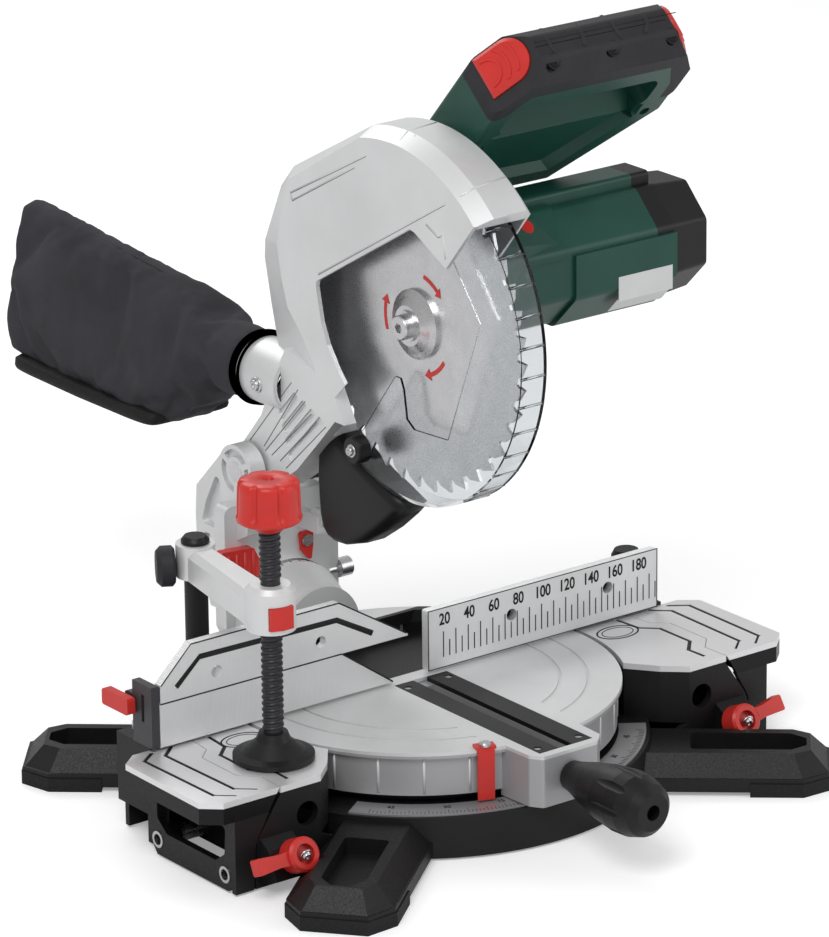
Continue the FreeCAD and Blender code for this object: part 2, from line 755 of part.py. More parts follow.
def make_right_fence():
    plate = prism([(right_fence_start, fence_bottom), (right_fence_end, fence_bottom), (right_fence_end,
        fence_top),
                   (right_fence_start, fence_top)], "xz", 0, fence_thickness, 1.5)
    foot_flange = box(136, 196, 4, 38, fence_seat_top + 0.0, fence_seat_top + 6)
    web = prism([(4, 6), (30, fence_seat_top + 5), (4, 38)], "yz", 150, 155)
    web2 = prism([(4, 6), (30, fence_seat_top + 5), (4, 38)], "yz", 176, 181)
    fence = join([plate, foot_flange, web, web2])
    holes = [rod((x, -1, right_hole_z), (x, fence_thickness + 1, right_hole_z),
        fence_hole_radius) for x in right_hole_rows]
    holes += [rod((x, 28, 0), (x, 28, 10), 3.3) for x in (143.0, 166.0)]
    holes.append(rod((196, 31, 0), (196, 31, 40), 10.3))
    holes.append(rod((-post_x, post_y, 0), (-post_x, post_y, 40), 12))
    return fence.cut(holes)


def make_left_fence():
    plate = prism([(-left_fence_end + 0.3, fence_bottom), (-20.2, fence_bottom), (-60.6,
        lower_fence_top - 0.3),
                   (-left_fence_end + 0.3, lower_fence_top - 0.3)], "xz", 0, fence_thickness)
    guide = prism([(fence_thickness - 1, 12), (15, 12), (15, 24), (fence_thickness - 1, 24)], "yz", -198,
        -70)
    flange = box(-196, -136, 4, 38, fence_seat_top, fence_seat_top + 6)
    fence = join([plate, guide, flange])
    fence = fence.cut(rod((post_x, post_y, 0), (post_x, post_y, 40), 12))
    return fence.cut([rod((x, 28, 0), (x, 28, 10), 3.3) for x in (-143.0, -166.0)])


def make_base_bolts():
    pivot = rod((0, 0, floor + 4), (0, 0, -14), pivot_bolt_radius)
    bolts = [join([pivot, rod((0, 0, floor + 3), (0, 0, floor + bench_gap + 6), 11)])]
    for x in (143.0, 166.0, -143.0, -166.0):
        bolts.append(turned([(0, -3), (3.25, -3), (3.25, fence_seat_top + 6), (5.5, fence_seat_top + 6),
            (5.5, fence_seat_top + 10),
                             (2.5, fence_seat_top + 10), (2.5, fence_seat_top + 8), (0,
                                 fence_seat_top + 8)], (x, 28, 0)))
    return Part.makeCompound(bolts)


def make_fence_end_bracket():
    inner = -left_fence_end - 0.3
    body = box(-207, inner, 0.0, 20.5, 2.6, 43)
    tongue = box(inner, -200, 0.5, 5.5, 32, 42)
    lug = prism([(18, 20), (29, 20), (29, 34), (18, 34)], "yz", -207, inner, 3)
    slot = box(-210, -204.5, 8, 11, 18, 36)
    return join([body, tongue, lug]).cut([slot, rod((-210, 23.5, 27), (-190, 23.5, 27), 3.05)])


def make_sliding_fence():
    plate = prism([(-200, lower_fence_top), (-200, 42.6), (-176.5, 65.4), (-62.4, 65.4), (-8.6, 32.2),
        (-8.6, lower_fence_top)],
                  "xz", 0, fence_thickness)
    back = join([
        box(-190, -80, fence_thickness - 1, 19, lower_fence_top + 0.4, lower_fence_top + 6),
        box(-190, -80, fence_thickness + 0.3, 19, 26.5, lower_fence_top + 1), box(-190, -80, 15.3, 19, 14,
            28),
    ])
    fence = join([plate, back])
    tools = [rod((x, -1, sliding_hole_z), (x, 30, sliding_hole_z),
        fence_hole_radius) for x in sliding_hole_rows]
    groove = prism([(-188.6, 38.0), (-187.6, 40.2), (-170.4, 56.2), (-64.3, 55.4), (-35.6, 38.7), (-64.3,
        52.6), (-169.4, 53.4)],
                   "xz", -1, 1.0)
    return fence.cut(tools + [groove])


def make_fence_lock():
    axis_y, axis_z = 23.5, 27.0
    shaft = rod((-186, axis_y, axis_z), (-209, axis_y, axis_z), 3.0)
    grip = prism([(16, 21.5), (44, 21.5), (44, 32.3), (16, 32.3)], "yz", -214, -208, 2)
    return join([shaft, grip])


def make_trunnion_bolt():
    bolt = rod((0, 92, 0), (0, 168, 0), bevel_bolt_radius - running_gap)
    return join([bolt, rod((0, 158.3, 0), (0, 165, 0), 9.5)])


def make_bracket():
    ear_z = head_pivot_z
    plate = prism(
        [(-40, -12), (-18, -30), (18, -30), (38, -12), (38, 84), (-46, 84), (-46, 0)],
        "xz", bracket_front, bracket_back, 6,
    )
    ear_outline = [(head_pivot_y - 12, 66), (head_pivot_y - ear_radius, ear_z), (head_pivot_y - 10,
        ear_z + 15),
                   (head_pivot_y + 10, ear_z + 15), (165.2, 112.7), (191.1, 86.4), (192.7, 66.2), (191.9,
                       44.5),
                   (178, 6), (head_pivot_y + 3, 6), (head_pivot_y + 3, 58)]
    hollow = [(186.2, 62), (165.4, 61), (161.2, 72), (166.5, 104), (181, 77.3, 8)]
    low_hollow = [(184, 44), (184, 56), (161.2, 56), (161.2, 12), (174, 12)]
    ears = []
    for x0, x1 in (left_ear, right_ear):
        web = prism(ear_outline, "yz", x0, x1)
        boss = rod((x0, head_pivot_y, ear_z), (x1, head_pivot_y, ear_z), ear_radius)
        x_out, x_in = (x0 - 1, x0 + 4) if x0 < 0 else (x1 + 1, x1 - 4)
        cuts = [prism(hollow, "yz", x_out, x_in, 3), prism(low_hollow, "yz", x_out, x_in, 3)]
        if x0 < 0:
            face = rod((x0 - 1, head_pivot_y, ear_z), (x0 + 3, head_pivot_y, ear_z), 15.0)
            face = face.cut(rod((x0 - 2, head_pivot_y, ear_z), (x0 + 4, head_pivot_y, ear_z), 10.0))
            for k in range(3):
                spoke = moved(box(x0 - 2, x0 + 4, 0, 20, -2, 2), 0, head_pivot_y, ear_z)
                face = face.cut(turned_about(spoke, (0, head_pivot_y, ear_z), (1, 0, 0), 30 + 120 * k))
            cuts.append(face)
        ears.append(web.fuse(boss).cut(cuts))
    back = box(left_ear[0], right_ear[1], bracket_back - 2, head_pivot_y + 30, 12, 20)
    back2 = box(left_ear[0], right_ear[1], head_pivot_y + 25, head_pivot_y + 30, 6, 60)
    link_lug = rod((7.5, head_pivot_y + link_ground_dy, head_pivot_z + link_ground_dz),
                   (12.2, head_pivot_y + link_ground_dy, head_pivot_z + link_ground_dz), 7)
    lug_arm = box(5.0, 11.0, head_pivot_y + link_ground_dy - 5, bracket_front + 2,
        head_pivot_z + link_ground_dz - 9,
                  head_pivot_z + link_ground_dz + 3)
    body = join([plate, back, back2, link_lug, lug_arm] + ears)
    shaft = rod((-40, head_pivot_y, ear_z), (60, head_pivot_y, ear_z), pivot_shaft_radius)
    bolt = rod((0, 140, 0), (0, 170, 0), bevel_bolt_radius)
    clear_arm = rod((-24.2, head_pivot_y, ear_z), (37.9, head_pivot_y, ear_z), ear_radius + 2)
    pin_y, pin_z = head_pivot_y + link_ground_dy, head_pivot_z + link_ground_dz
    pins = [
        rod((18, bracket_front - 1, 49), (18, bracket_front + 3, 49), 2.05),
        rod((-42, bracket_front - 1, 31), (-42, bracket_front + 7, 31), 3.0),
        rod((7, pin_y, pin_z), (16, pin_y, pin_z), 2.5),
        rod((27, bracket_front + 5.5, 20), (60, bracket_front + 5.5, 20), 3.05),
    ]
    return body.cut([shaft, bolt, clear_arm] + pins)


def make_pivot_shaft():
    shaft = rod((left_ear[0] - 0.2, head_pivot_y, head_pivot_z), (right_ear[1] + 3, head_pivot_y,
        head_pivot_z), pivot_shaft_radius)
    return shaft


# Head return spring: a close tube wound round the pivot shaft, on biarcs of a quarter turn.
def make_torsion_spring():
    wire_radius = 1.9
    coil_radius = 15.0
    turns = 5
    pitch = 4.6
    start_x = 13.0
    steps = turns * 4
    edges = []

    def at(quarters):
        angle = quarters * math.pi / 2
        return V(start_x + pitch * quarters / 4, head_pivot_y + coil_radius * math.cos(angle),
            head_pivot_z + coil_radius * math.sin(angle))

    for k in range(steps):
        edges.append(Part.Arc(at(k), at(k + 0.5), at(k + 1)).toShape())
    path = Part.Wire(edges)
    start = at(0)
    tangent = edges[0].tangentAt(edges[0].FirstParameter)
    section = Part.Wire([Part.Circle(start, tangent, wire_radius).toShape()])
    centres = [edge.valueAt(edge.FirstParameter + (edge.LastParameter - edge.FirstParameter) * i / 12)
               for edge in edges for i in range(12)]
    half_turn = 2 * 12
    nearest = min(centres[i].distanceToPoint(centres[j]) for i in range(len(centres))
                  for j in range(i + half_turn, len(centres)))
    print("return spring, least gap to itself", round(nearest - 2 * wire_radius, 2), "mm")
    return path.makePipeShell([section], True, False)


def make_bevel_pointer():
    body = prism([(12.5, 55), (23.5, 55), (23.5, 45), (22, 35), (20, 35), (14, 42)], "xz",
        bracket_front - 2.3, bracket_front - 0.1, 2)
    return body.cut(rod((18, 140, 49), (18, 150, 49), 2.1))


def make_bevel_screw():
    return turned([(0, -3.0), (2.05, -3.0), (2.05, 2.4), (4.0, 2.4), (4.0, 4.2), (0, 4.2)], (18,
        bracket_front, 49), (0, -1, 0))


def make_stop_bolt():
    place = (38.0, bracket_front + 5.5, 20)
    return turned([(0, -10), (3, -10), (3, 10.3), (6.5, 10.3), (6.5, 19.5), (0, 19.5)], place, (1, 0, 0))


def make_bevel_lever():
    plate = prism([(-47, 24), (-54, 57), (-28, 55.2), (-20, 40), (-35, 24)], "xz", bracket_front - 7,
        bracket_front - 0.3, 2)
    return plate.fuse(rod((-42, bracket_front - 0.3, 31), (-42, bracket_front - 7.0, 31), 6)).cut(rod((-42,
        130, 31), (-42, 150, 31), 3.05))


def make_bevel_lever_screw():
    return turned([(0, -7), (3.0, -7), (3.0, 7.3), (5.0, 7.3), (5.0, 10), (0, 10)], (-42, bracket_front,
        31), (0, -1, 0))


# An arc about the hub between two angles from the front: its ends, and between them the two
# corners whose rounding makes it.
def hub_arc(radius, first, last):
    quarter = (last - first) / 4
    u, v = polar(radius, 180 - first)
    points = [(u, v)]
    for angle in (first + quarter, last - quarter):
        u, v = polar(radius / math.cos(math.radians(quarter)), 180 - angle)
        points.append((u, v, radius))
    return points + [polar(radius, 180 - last)]


def guard_outlines():
    side = [(-56.8, 53.3)] + hub_arc(guard_side_radius, 45.5, 104.5)
    side += [(106.4, 73.4), (114.8, 45.9), (119.4, 27.6), (115.1, 6.2), (109.1, -11.7), (94.7, -26.5),
             (75.7, -51.4), (60, -60)]
    crown = [(-60.0, 56.0)] + hub_arc(guard_radius, 44.4, 104.0)
    crown += [(115.7, 78.1), (130.0, 62.0), (148.6, 21.9), (149.6, 10.0), (143.0, -20.0), (136.0, -47.0),
              (128.0, -72.0), (90, -80)]
    return side, crown


def make_head_casting():
    side, crown = guard_outlines()
    left = loft([outline(hub_points(side), "yz", guard_left_face), outline(hub_points(crown), "yz",
        guard_crown_left)])
    middle = prism(hub_points(crown), "yz", guard_crown_left, guard_crown_right)
    right = loft([outline(hub_points(crown), "yz", guard_crown_right), outline(hub_points(side), "yz",
        guard_right_face)])
    shell = left.fuse([middle, right])
    plate = rod((15.5, hub_y, hub_z), (guard_right_face, hub_y, hub_z), 52)
    cavity = rod((guard_left_face + guard_left_wall, hub_y, hub_z), (guard_right_face - 3, hub_y, hub_z),
        guard_cavity_radius)
    cavity = cavity.common(box(-30, 30, hub_y - 150, hub_y + 92, 0, 500))
    rear_cavity = rod((-12.5, hub_y, hub_z), (13.5, hub_y, hub_z), guard_cavity_radius)
    window = prism(
        hub_points([(-56.8, 53.3), (-25.6, 69.2), (-20.4, 70.3), (77.3, 13.3), (78.2, 9.1), (73.1, -13),
            (66.9, -26.7),
                    (55.9, -41.2), (48.1, -49.3), (48, -75), (-140, -75), (-140, 100), (-84.8, 86.4)]),
        "yz", -40, guard_left_face + guard_left_wall + 0.2,
    )
    mouth = prism(hub_points([(-57, 53), (-86, 87), (-150, 150), (-150, -80), (40, -80), (60, -40), (60,
        40), (0, 55)]), "yz",
                  -19.2, guard_crown_right + 2.8)
    shell = shell.cut([cavity, rear_cavity])
    shell = shell.cut([window, mouth])
    right_cut = prism(hub_points([(-150, 150), (-90, 92), (-58, 52), (-52, 0), (-40, -60), (60, -60), (90,
        -85), (90, -150), (-150, -150)]),
                      "yz", 0, 40)
    shell = shell.cut(right_cut)
    shell = shell.fuse(plate.cut(box(0, 15.4, -200, 200, 0, 500)))
    arm = prism(
        hub_points([(64, -52), (50, -76), (60, -76), (77, -94), (102, -119.5), (138, -145),
            (arm_reach + 14, -arm_rise - 10),
                    (arm_reach + 16, -arm_rise + 8), (140, -92), (128, -66), (112, -40)]),
        "yz", arm_hub[0], arm_hub[1],
    )
    hub_tube = rod((arm_hub[0], head_pivot_y, head_pivot_z), (arm_hub[1], head_pivot_y, head_pivot_z),
        ear_radius)
    port = rod((port_x, hub_y + port_start, hub_z + port_dz), (port_x, hub_y + port_end - 4,
        hub_z + port_dz), port_radius)
    head = join([shell, arm, hub_tube, port]).cut(rear_cavity)
    duct_end = (port_x, hub_y + port_start + 1, hub_z + port_dz)
    duct = rod((port_x, hub_y + 88, hub_z + port_dz), duct_end, port_bore)
    duct = duct.common(box(arm_hub[0] + guard_left_wall, 30, 0, 200, 0, 300))
    port_hole = rod((port_x, hub_y + port_start, hub_z + port_dz), (port_x, hub_y + port_end + 5,
        hub_z + port_dz), port_bore)
    channel = prism(hub_points([(60, -45), (100, -40), (112, -50), (112, -86), (92, -86), (66, -62)]),
        "yz", -12.5, 10.5)
    shaft = rod((-60, head_pivot_y, head_pivot_z), (60, head_pivot_y, head_pivot_z),
        pivot_shaft_radius + running_gap)
    bore = rod((0, hub_y, hub_z), (60, hub_y, hub_z), bush_radius + press_gap)
    pinion_hole = rod((15, hub_y + motor_dy, hub_z + motor_dz), (30, hub_y + motor_dy, hub_z + motor_dz),
        6.0)
    pockets = []
    for k in range(arm_pockets):
        start, end = (12 + 4 * k, 62 - 4 * k)
        low, high = arm_rib_pitch * k + 5, arm_rib_pitch * (k + 1) + 5 - arm_rib
        strip = prism([(start, low), (end, low), (end, high), (start, high)], "yz", arm_hub[0] - 1,
            arm_hub[0] + arm_pocket_depth, 2)
        strip = turned_about(strip, (0, 0, 0), (1, 0, 0), -arm_slope)
        pockets.append(moved(strip, 0, hub_y + 60, hub_z - 76))
    head = head.cut([duct, port_hole, channel, shaft, bore, pinion_hole] + pockets)
    link_slot = prism(hub_points([(30, -10), (45, -60), (90, -85), (130, -85), (140, -170), (60, -170),
        (-10, -40)]), "yz", 11.8, 15.3)
    return head.cut(link_slot)


def make_spindle_bush():
    return turned([(arbor_radius + running_gap, 4.5), (bush_radius, 4.5), (bush_radius, 21.8),
        (arbor_radius + running_gap, 21.8)],
                  (0, hub_y, hub_z), (1, 0, 0))


def octagon(radius):
    y, z = hub(motor_dy, motor_dz)
    return [(y + u, z + v) for u, v in [polar(radius, 22.5 + 45 * k) for k in range(8)]]


def above_seam(shape):
    return shape.common(box(0, 300, -200, 200, hub_z + motor_dz + motor_seam, 500))


def below_seam(shape):
    return shape.common(box(0, 300, -200, 200, 0, hub_z + motor_dz + motor_seam))


def motor_rail(start, end):
    y, z = hub(motor_dy, motor_dz)
    edge = [(y - 11, z), (y - 11, z + motor_rail_top), (y + 15, z + motor_rail_top), (y + 15, z)]
    return prism(edge, "yz", start, end, 3)


def make_motor_housing():
    y, z = hub(motor_dy, motor_dz)
    upper = above_seam(prism(octagon(motor_radius), "yz", motor_start, motor_split, 6))
    lower = below_seam(prism(octagon(motor_radius), "yz", motor_start, motor_end, 6))
    seam = z + motor_seam
    cover = above_seam(prism(octagon(motor_radius + 2), "yz", motor_start, 94, 6))
    cover = cover.common(prism([(0, seam), (80, seam), (84, seam + 18), (94, z + 50), (0, z + 50)], "xz",
        -100, 100))
    panel = below_seam(prism(octagon(motor_radius + 2.5), "yz", 90, motor_end, 6))
    gearbox = prism(hub_points([(-48, 20), (-40, -22), (-20, -38), (20, -38), (40, -22), (46, 20), (30,
        60), (-36, 60)]), "yz",
                    motor_start, motor_start + 20, 8)
    near = [(-46, 30), (-50, 56), (-36, 74), (-8, 84), (18, 70), (36, 60), (40, 20)]
    far = [(-38, 30), (-40, 46), (-24, 58), (-6, 62), (16, 60), (30, 50), (34, 20)]
    shoulder = loft([outline(hub_points(near), "yz", motor_start), outline(hub_points(far), "yz", 80)])
    loop_room = on_loop(box(0, 200, loop_foot_a - 1, 200, loop_rear_b, loop_front_b))
    body = join([upper, lower, cover, panel, gearbox, motor_rail(42, motor_split)]).cut(loop_room)
    body = join([body, shoulder.cut(loop_room)])
    inner = rod((motor_start + 24, y, z), (motor_end + 1, y, z), motor_radius - 5)
    gear_room = rod((gear_start - 1.0, hub_y, hub_z), (gear_start + gear_width + 2, hub_y, hub_z), 23.0)
    pinion_room = rod((gear_start - 1.0, y, z), (gear_start + gear_width + 2, y, z), 9)
    arbor_hole = rod((20, hub_y, hub_z), (40.3, hub_y, hub_z), arbor_radius + running_gap)
    shaft_hole = rod((22, y, z), (60, y, z), 4.05)
    bearing_seat = rod((motor_start + 17, y, z), (motor_start + 25, y, z), 11.0)
    spindle_well = lock_button(-button_depth - button_travel - button_gap, 12, lock_radius + running_gap)
    return body.cut([inner, gear_room, pinion_room, arbor_hole, shaft_hole, bearing_seat, spindle_well])


def make_motor_cap():
    y, z = hub(motor_dy, motor_dz)
    upper = above_seam(prism(octagon(motor_radius), "yz", motor_split + 0.1, motor_end + 0.1, 6))
    steps = [(motor_radius, motor_end + 0.1), (motor_radius - 2.5, motor_cap_end), (motor_radius - 9,
        motor_cap_end + 5)]
    rings = [outline(octagon(radius), "yz", x, 5) for radius, x in steps]
    cap = join([upper, motor_rail(motor_split + 0.1, motor_end + 0.1), loft(rings[:2]), loft(rings[1:])])
    cap = cap.cut([rod((motor_split, y, z), (motor_end + 0.1, y, z), motor_radius - 5),
                   rod((motor_end, y, z), (motor_cap_end - 6, y, z), motor_radius - 9)])
    slots = []
    for k in range(16):
        bar = box(motor_cap_end - 8, motor_cap_end + 6, 14, 26, -1.3, 1.3)
        bar = turned_about(bar, (0, 0, 0), (1, 0, 0), 22.5 * k)
        slots.append(moved(bar, 0, y, z))
    seat = rod((motor_cap_end - 14, y, z), (motor_cap_end - 3, y, z), 8.0)
    spider = rod((motor_cap_end - 13.5, y, z), (motor_cap_end - 5, y, z), 10.5)
    return join([cap.cut(slots + [seat]), spider.cut(rod((motor_cap_end - 14, y, z), (motor_cap_end - 5, y,
        z), 8.0))])


def make_stator():
    y, z = hub(motor_dy, motor_dz)
    ring = rod((80, y, z), (130, y, z), motor_radius - 5 - running_gap)
    return ring.cut(rod((79, y, z), (131, y, z), 22.0))


def make_bearings():
    y, z = hub(motor_dy, motor_dz)
    front = rod((motor_start + 17.2, y, z), (motor_start + 24, y, z), 11.0).cut(rod((0, y, z), (90, y, z),
        4.0 + running_gap))
    rear = rod((motor_cap_end - 12, y, z), (motor_cap_end - 6, y, z), 8.0).cut(rod((150, y, z),
        (250, y, z), 4.0 + running_gap))
    return [front, rear]


# Spur gear outline: flanks follow the involute, thinned by the backlash.
def gear_outline(teeth, backlash, turn):
    pitch_r = gear_module * teeth / 2
    base_r = pitch_r * math.cos(math.radians(20))
    tip_r = pitch_r + 0.9 * gear_module
    root_r = pitch_r - 1.2 * gear_module
    half_pitch = math.pi / (2 * teeth) - backlash / (2 * pitch_r)
    inv = math.tan(math.radians(20)) - math.radians(20)

    def flank(radius):
        if radius <= base_r:
            return half_pitch + inv
        press = math.acos(base_r / radius)
        return half_pitch + inv - (math.tan(press) - press)

    radii = [root_r, max(base_r, root_r + 0.1), pitch_r, tip_r]
    points = []
    for k in range(teeth):
        centre = turn + 2 * math.pi * k / teeth
        rise = [(r, centre - flank(r)) for r in radii]
        fall = [(r, centre + flank(r)) for r in reversed(radii)]
        for r, angle in rise + fall:
            points.append((r * math.cos(angle), r * math.sin(angle)))
    return points


def make_driven_gear():
    toward = math.atan2(motor_dz, motor_dy)
    points = [(hub_y + u, hub_z + v) for u, v in gear_outline(driven_teeth, 0.25, toward)]
    gear = prism(points, "yz", gear_start, gear_start + gear_width)
    return gear.cut(rod((0, hub_y, hub_z), (60, hub_y, hub_z), arbor_radius))


def make_armature():
    y, z = hub(motor_dy, motor_dz)
    toward = math.atan2(-motor_dz, -motor_dy) + math.pi / pinion_teeth
    points = [(y + u, z + v) for u, v in gear_outline(pinion_teeth, 0.25, toward)]
    pinion = prism(points, "yz", gear_start, gear_start + gear_width)
    shaft = rod((motor_start + 0.6, y, z), (motor_cap_end - 6.5, y, z), 4.0)
    rotor = rod((82, y, z), (128, y, z), 21.4)
    commutator = rod((140, y, z), (158, y, z), 11.0)
    fan_hub = rod((60, y, z), (70, y, z), 12.0)
    blades = []
    for k in range(9):
        bar = box(60, 70, 10, 30, -1, 1)
        blades.append(moved(turned_about(bar, (0, 0, 0), (1, 0, 0), 40 * k), 0, y, z))
    return join([shaft, rotor, commutator, fan_hub, pinion] + blades)


def make_blade():
    teeth = 40
    radius = blade_diameter / 2
    points = []
    for k in range(teeth):
        base = 2 * math.pi * k / teeth
        step = 2 * math.pi / teeth
        for share, r in ((0.0, radius), (0.16, radius - 1.5), (0.55, radius - 4.5), (0.72, radius - 8.0),
            (0.93, radius - 8.0), (0.97, radius - 5.0)):
            angle = base + share * step
            points.append((hub_y + r * math.cos(angle), hub_z + r * math.sin(angle)))
    disc = prism(points, "yz", -blade_thickness / 2, blade_thickness / 2)
    return disc.cut(rod((-9, hub_y, hub_z), (9, hub_y, hub_z), arbor_radius + 0.02))


def make_arbor():
    shaft = rod((-5.5, hub_y, hub_z), (gear_start + gear_width + 6, hub_y, hub_z), arbor_radius)
    inner_flange = rod((blade_thickness / 2, hub_y, hub_z), (4.2, hub_y, hub_z), flange_radius)
    return join([shaft, inner_flange]).cut(rod((-6, hub_y, hub_z), (14, hub_y, hub_z), 3.0))


def make_outer_flange():
    return turned([(arbor_radius, 0), (flange_radius, 0), (flange_radius, 2.5), (flange_radius - 4, 4.5),
        (13, 7.9), (arbor_radius, 7.9)],
                  (-blade_thickness / 2, hub_y, hub_z), (-1, 0, 0)).cut(rod((-8, hub_y, hub_z), (-20,
                      hub_y, hub_z), 3.1))


def make_blade_bolt():
    head = turned([(0, 9.0), (10, 9.0), (10, 10.5), (8, 10.5), (8, 15.2), (7.2, 16), (0, 16)], (0, hub_y,
        hub_z), (-1, 0, 0))
    socket = prism(hub_points([polar(3.5, 60 * k) for k in range(6)]), "yz", -17, -12)
    shank = rod((-9.0, hub_y, hub_z), (12, hub_y, hub_z), 3.0)
    return join([head, shank]).cut(socket)


def guard_sector(radius, first, last):
    reach = radius * 1.6
    points = [(0, 0)]
    steps = 8
    for i in range(steps + 1):
        a = math.radians(first + (last - first) * i / steps)
        points.append((-reach * math.cos(a), reach * math.sin(a)))
    return hub_points(points)


def make_lower_guard():
    r = lower_guard_radius
    w = lower_guard_wall
    half = lower_guard_half
    drum = rod((-half, hub_y, hub_z), (half, hub_y, hub_z), r)
    drum = drum.cut(rod((-half + w, hub_y, hub_z), (half - w, hub_y, hub_z), r - w))
    keep = prism(guard_sector(r, -122, 66), "yz", -30, 30)
    shell = drum.common(keep)
    window = prism(
        hub_points([(46.2, -79.7), (12.3, -35.9), (6.8, -35.9), (3.7, -42.7), (0.8, -61.4), (-6.8, -66.4),
            (-41.3, -64.2),
                    (-75.2, 19.8), (-48.2, 53.8), (-30, 150), (200, 150), (200, -60), (120, -150)]),
        "yz", -half - 1, -half + w + 0.2,
    )
    shell = shell.cut(window)
    disc = rod((half - w, hub_y, hub_z), (half, hub_y, hub_z), 30)
    pin_dy = -link_pin_reach * math.cos(math.radians(link_pin_angle))
    pin_dz = link_pin_reach * math.sin(math.radians(link_pin_angle))
    pin = rod((half - 0.5, hub_y + pin_dy, hub_z + pin_dz), (15.0, hub_y + pin_dy, hub_z + pin_dz),
        link_pin_radius)
    bore = rod((0, hub_y, hub_z), (20, hub_y, hub_z), bush_radius + running_gap)
    return join([shell, disc, pin]).cut(bore)


def make_guard_roller():
    place = (-22.0, hub_y + 43, hub_z - 91)
    return turned([(0, 0), (8, 0), (9, 1), (9, 9), (8, 10), (3.0, 10), (3.0, 12.0), (0, 12.0)], place, (1,
        0, 0))


def make_guard_link():
    ground = V(0, head_pivot_y + link_ground_dy, head_pivot_z + link_ground_dz)
    pin = V(0, hub_y - link_pin_reach * math.cos(math.radians(link_pin_angle)),
        hub_z + link_pin_reach * math.sin(math.radians(link_pin_angle)))
    length = ground.distanceToPoint(pin)
    bar = prism([(-2, -3), (length - 9, -3.0), (length - 7, -3.6), (length + 1.5, -3.6), (length + 5, -2.4,
        0.5), (length + 5, 9.8), (length - 9, 9.8),
                 (length - 12, 4), (-2, 4)], "yz", link_left, link_right, 1.5)
    eye = prism([(length - 4.8, -2.1), (length + 2.2, -2.1), (length + 2.2, 8.4), (length - 4.8, 8.4)],
        "yz", 10, 20, 1.2)
    boss = rod((link_left, 0, 0), (link_right, 0, 0), 6)
    link = join([bar, boss]).cut([eye, rod((0, 0, 0), (20, 0, 0), 2.5 + running_gap)])
    angle = math.degrees(math.atan2(pin.z - ground.z, pin.y - ground.y))
    link = turned_about(link, (0, 0, 0), (1, 0, 0), angle)
    return moved(link, 0, ground.y, ground.z)


def make_link_pin():
    y = head_pivot_y + link_ground_dy
    z = head_pivot_z + link_ground_dz
    pin = rod((7.0, y, z), (15.6, y, z), 2.5)
    return join([pin, rod((15.0, y, z), (17.0, y, z), 5.0)])


def make_deflector():
    inner = [(119.3 * math.cos(math.radians(a)), 119.3 * math.sin(math.radians(a))) for a in (-85, -76,
        -67, -58, -51)]
    edge = [(97, -114.5), (94, -117), (86, -122), (85, -151), (92, -167), (84, -165.5), (72, -159.0), (62,
        -155), (28, -146), (14, -126)]
    return prism(hub_points(inner + [(77, -94)] + edge), "yz", -12, 9)


def loop_body():
    edge = [(22, 40), (115, 40), (172, 97), (172, 116), (165, 116), (165, 131), (155, 151), (45, 151), (32,
        134), (22, 131)]
    body = prism(edge, "xy", loop_rear_b, loop_front_b)
    body = body.common(prism([(38, loop_rear_b), (38, loop_front_b), (160, loop_front_b), (160,
        loop_rear_b)], "yz", 0, 200))
    level = [e for e in body.Edges if e.BoundBox.ZLength < 0.1]
    bottom = [e for e in level if e.BoundBox.YMax < 97.5 and e.BoundBox.XMax > 22.5]
    side = [e for e in level if e.BoundBox.XLength < 0.1 and e.BoundBox.YLength > 30]
    return body.makeFillet(loop_round, bottom + side)


def make_handle_shell(front):
    body = loop_body()
    finger = [(36, loop_body_a), (154, loop_body_a), (154, 139), (36, 139)]
    opening = prism(finger, "xy", loop_rear_b - 1, loop_front_b + 1, 8)
    slot = box(trigger_left - 1, trigger_right + 1, 138, 152, trigger_rear_b - 0.4, trigger_front_b + 0.4)
    panel = [(34, 56), (108, 54), (154, 101), (154, 112.5), (34, 112.5)]
    middle = (94, 84)
    inner = [(x + (panel_slope if x < middle[0] else -panel_slope),
        a + (panel_slope if a < middle[1] else 0)) for x, a in panel]
    recess = loft([outline(panel, "xy", loop_front_b + 0.1), outline(inner, "xy",
        loop_front_b - panel_depth)])
    floor_slope = prism([(112.1, -74), (113, -56), (98, -56), (98, -62.9)], "yz", 38, 152)
    screws = [rod((33.7, 100.8, loop_front_b - 5), (33.7, 100.8, 0), 3.6),
        rod((160.2, 102.4, loop_front_b - 5), (160.2, 102.4, 0), 3.6)]
    body = body.cut([opening, slot, recess, floor_slope] + screws)
    if front:
        half = box(0, 200, 0, 200, loop_seam_b, loop_front_b + 1)
    else:
        half = box(0, 200, 0, 200, loop_rear_b - 1, loop_seam_b)
    return on_loop(body.common(half))


# Where a lock button sits on the sloping end of the grip: u up the slope, w into it.
def on_slope(shape, right):
    run, rise = 0.5704, 0.8213
    place = FreeCAD.Placement(FreeCAD.Matrix(
        run, 0, rise, loop_left,
        rise, 0, -run, 139,
        0, 1, 0, 0,
        0, 0, 0, 1,
    ))
    placed = shape.copy()
    placed.Placement = place.multiply(shape.Placement)
    if right:
        placed.rotate(V((loop_left + loop_right) / 2, 0, button_middle_b), V(0, 1, 0), 180)
    return placed


def button_outline(inset):
    low, high = button_middle_b - 14.75 + inset, button_middle_b + 14.75 - inset
    return [(5 + inset, high), (38.5 - inset, high, 14 - inset), (38.5 - inset, low, 14 - inset),
        (5 + inset, low)]


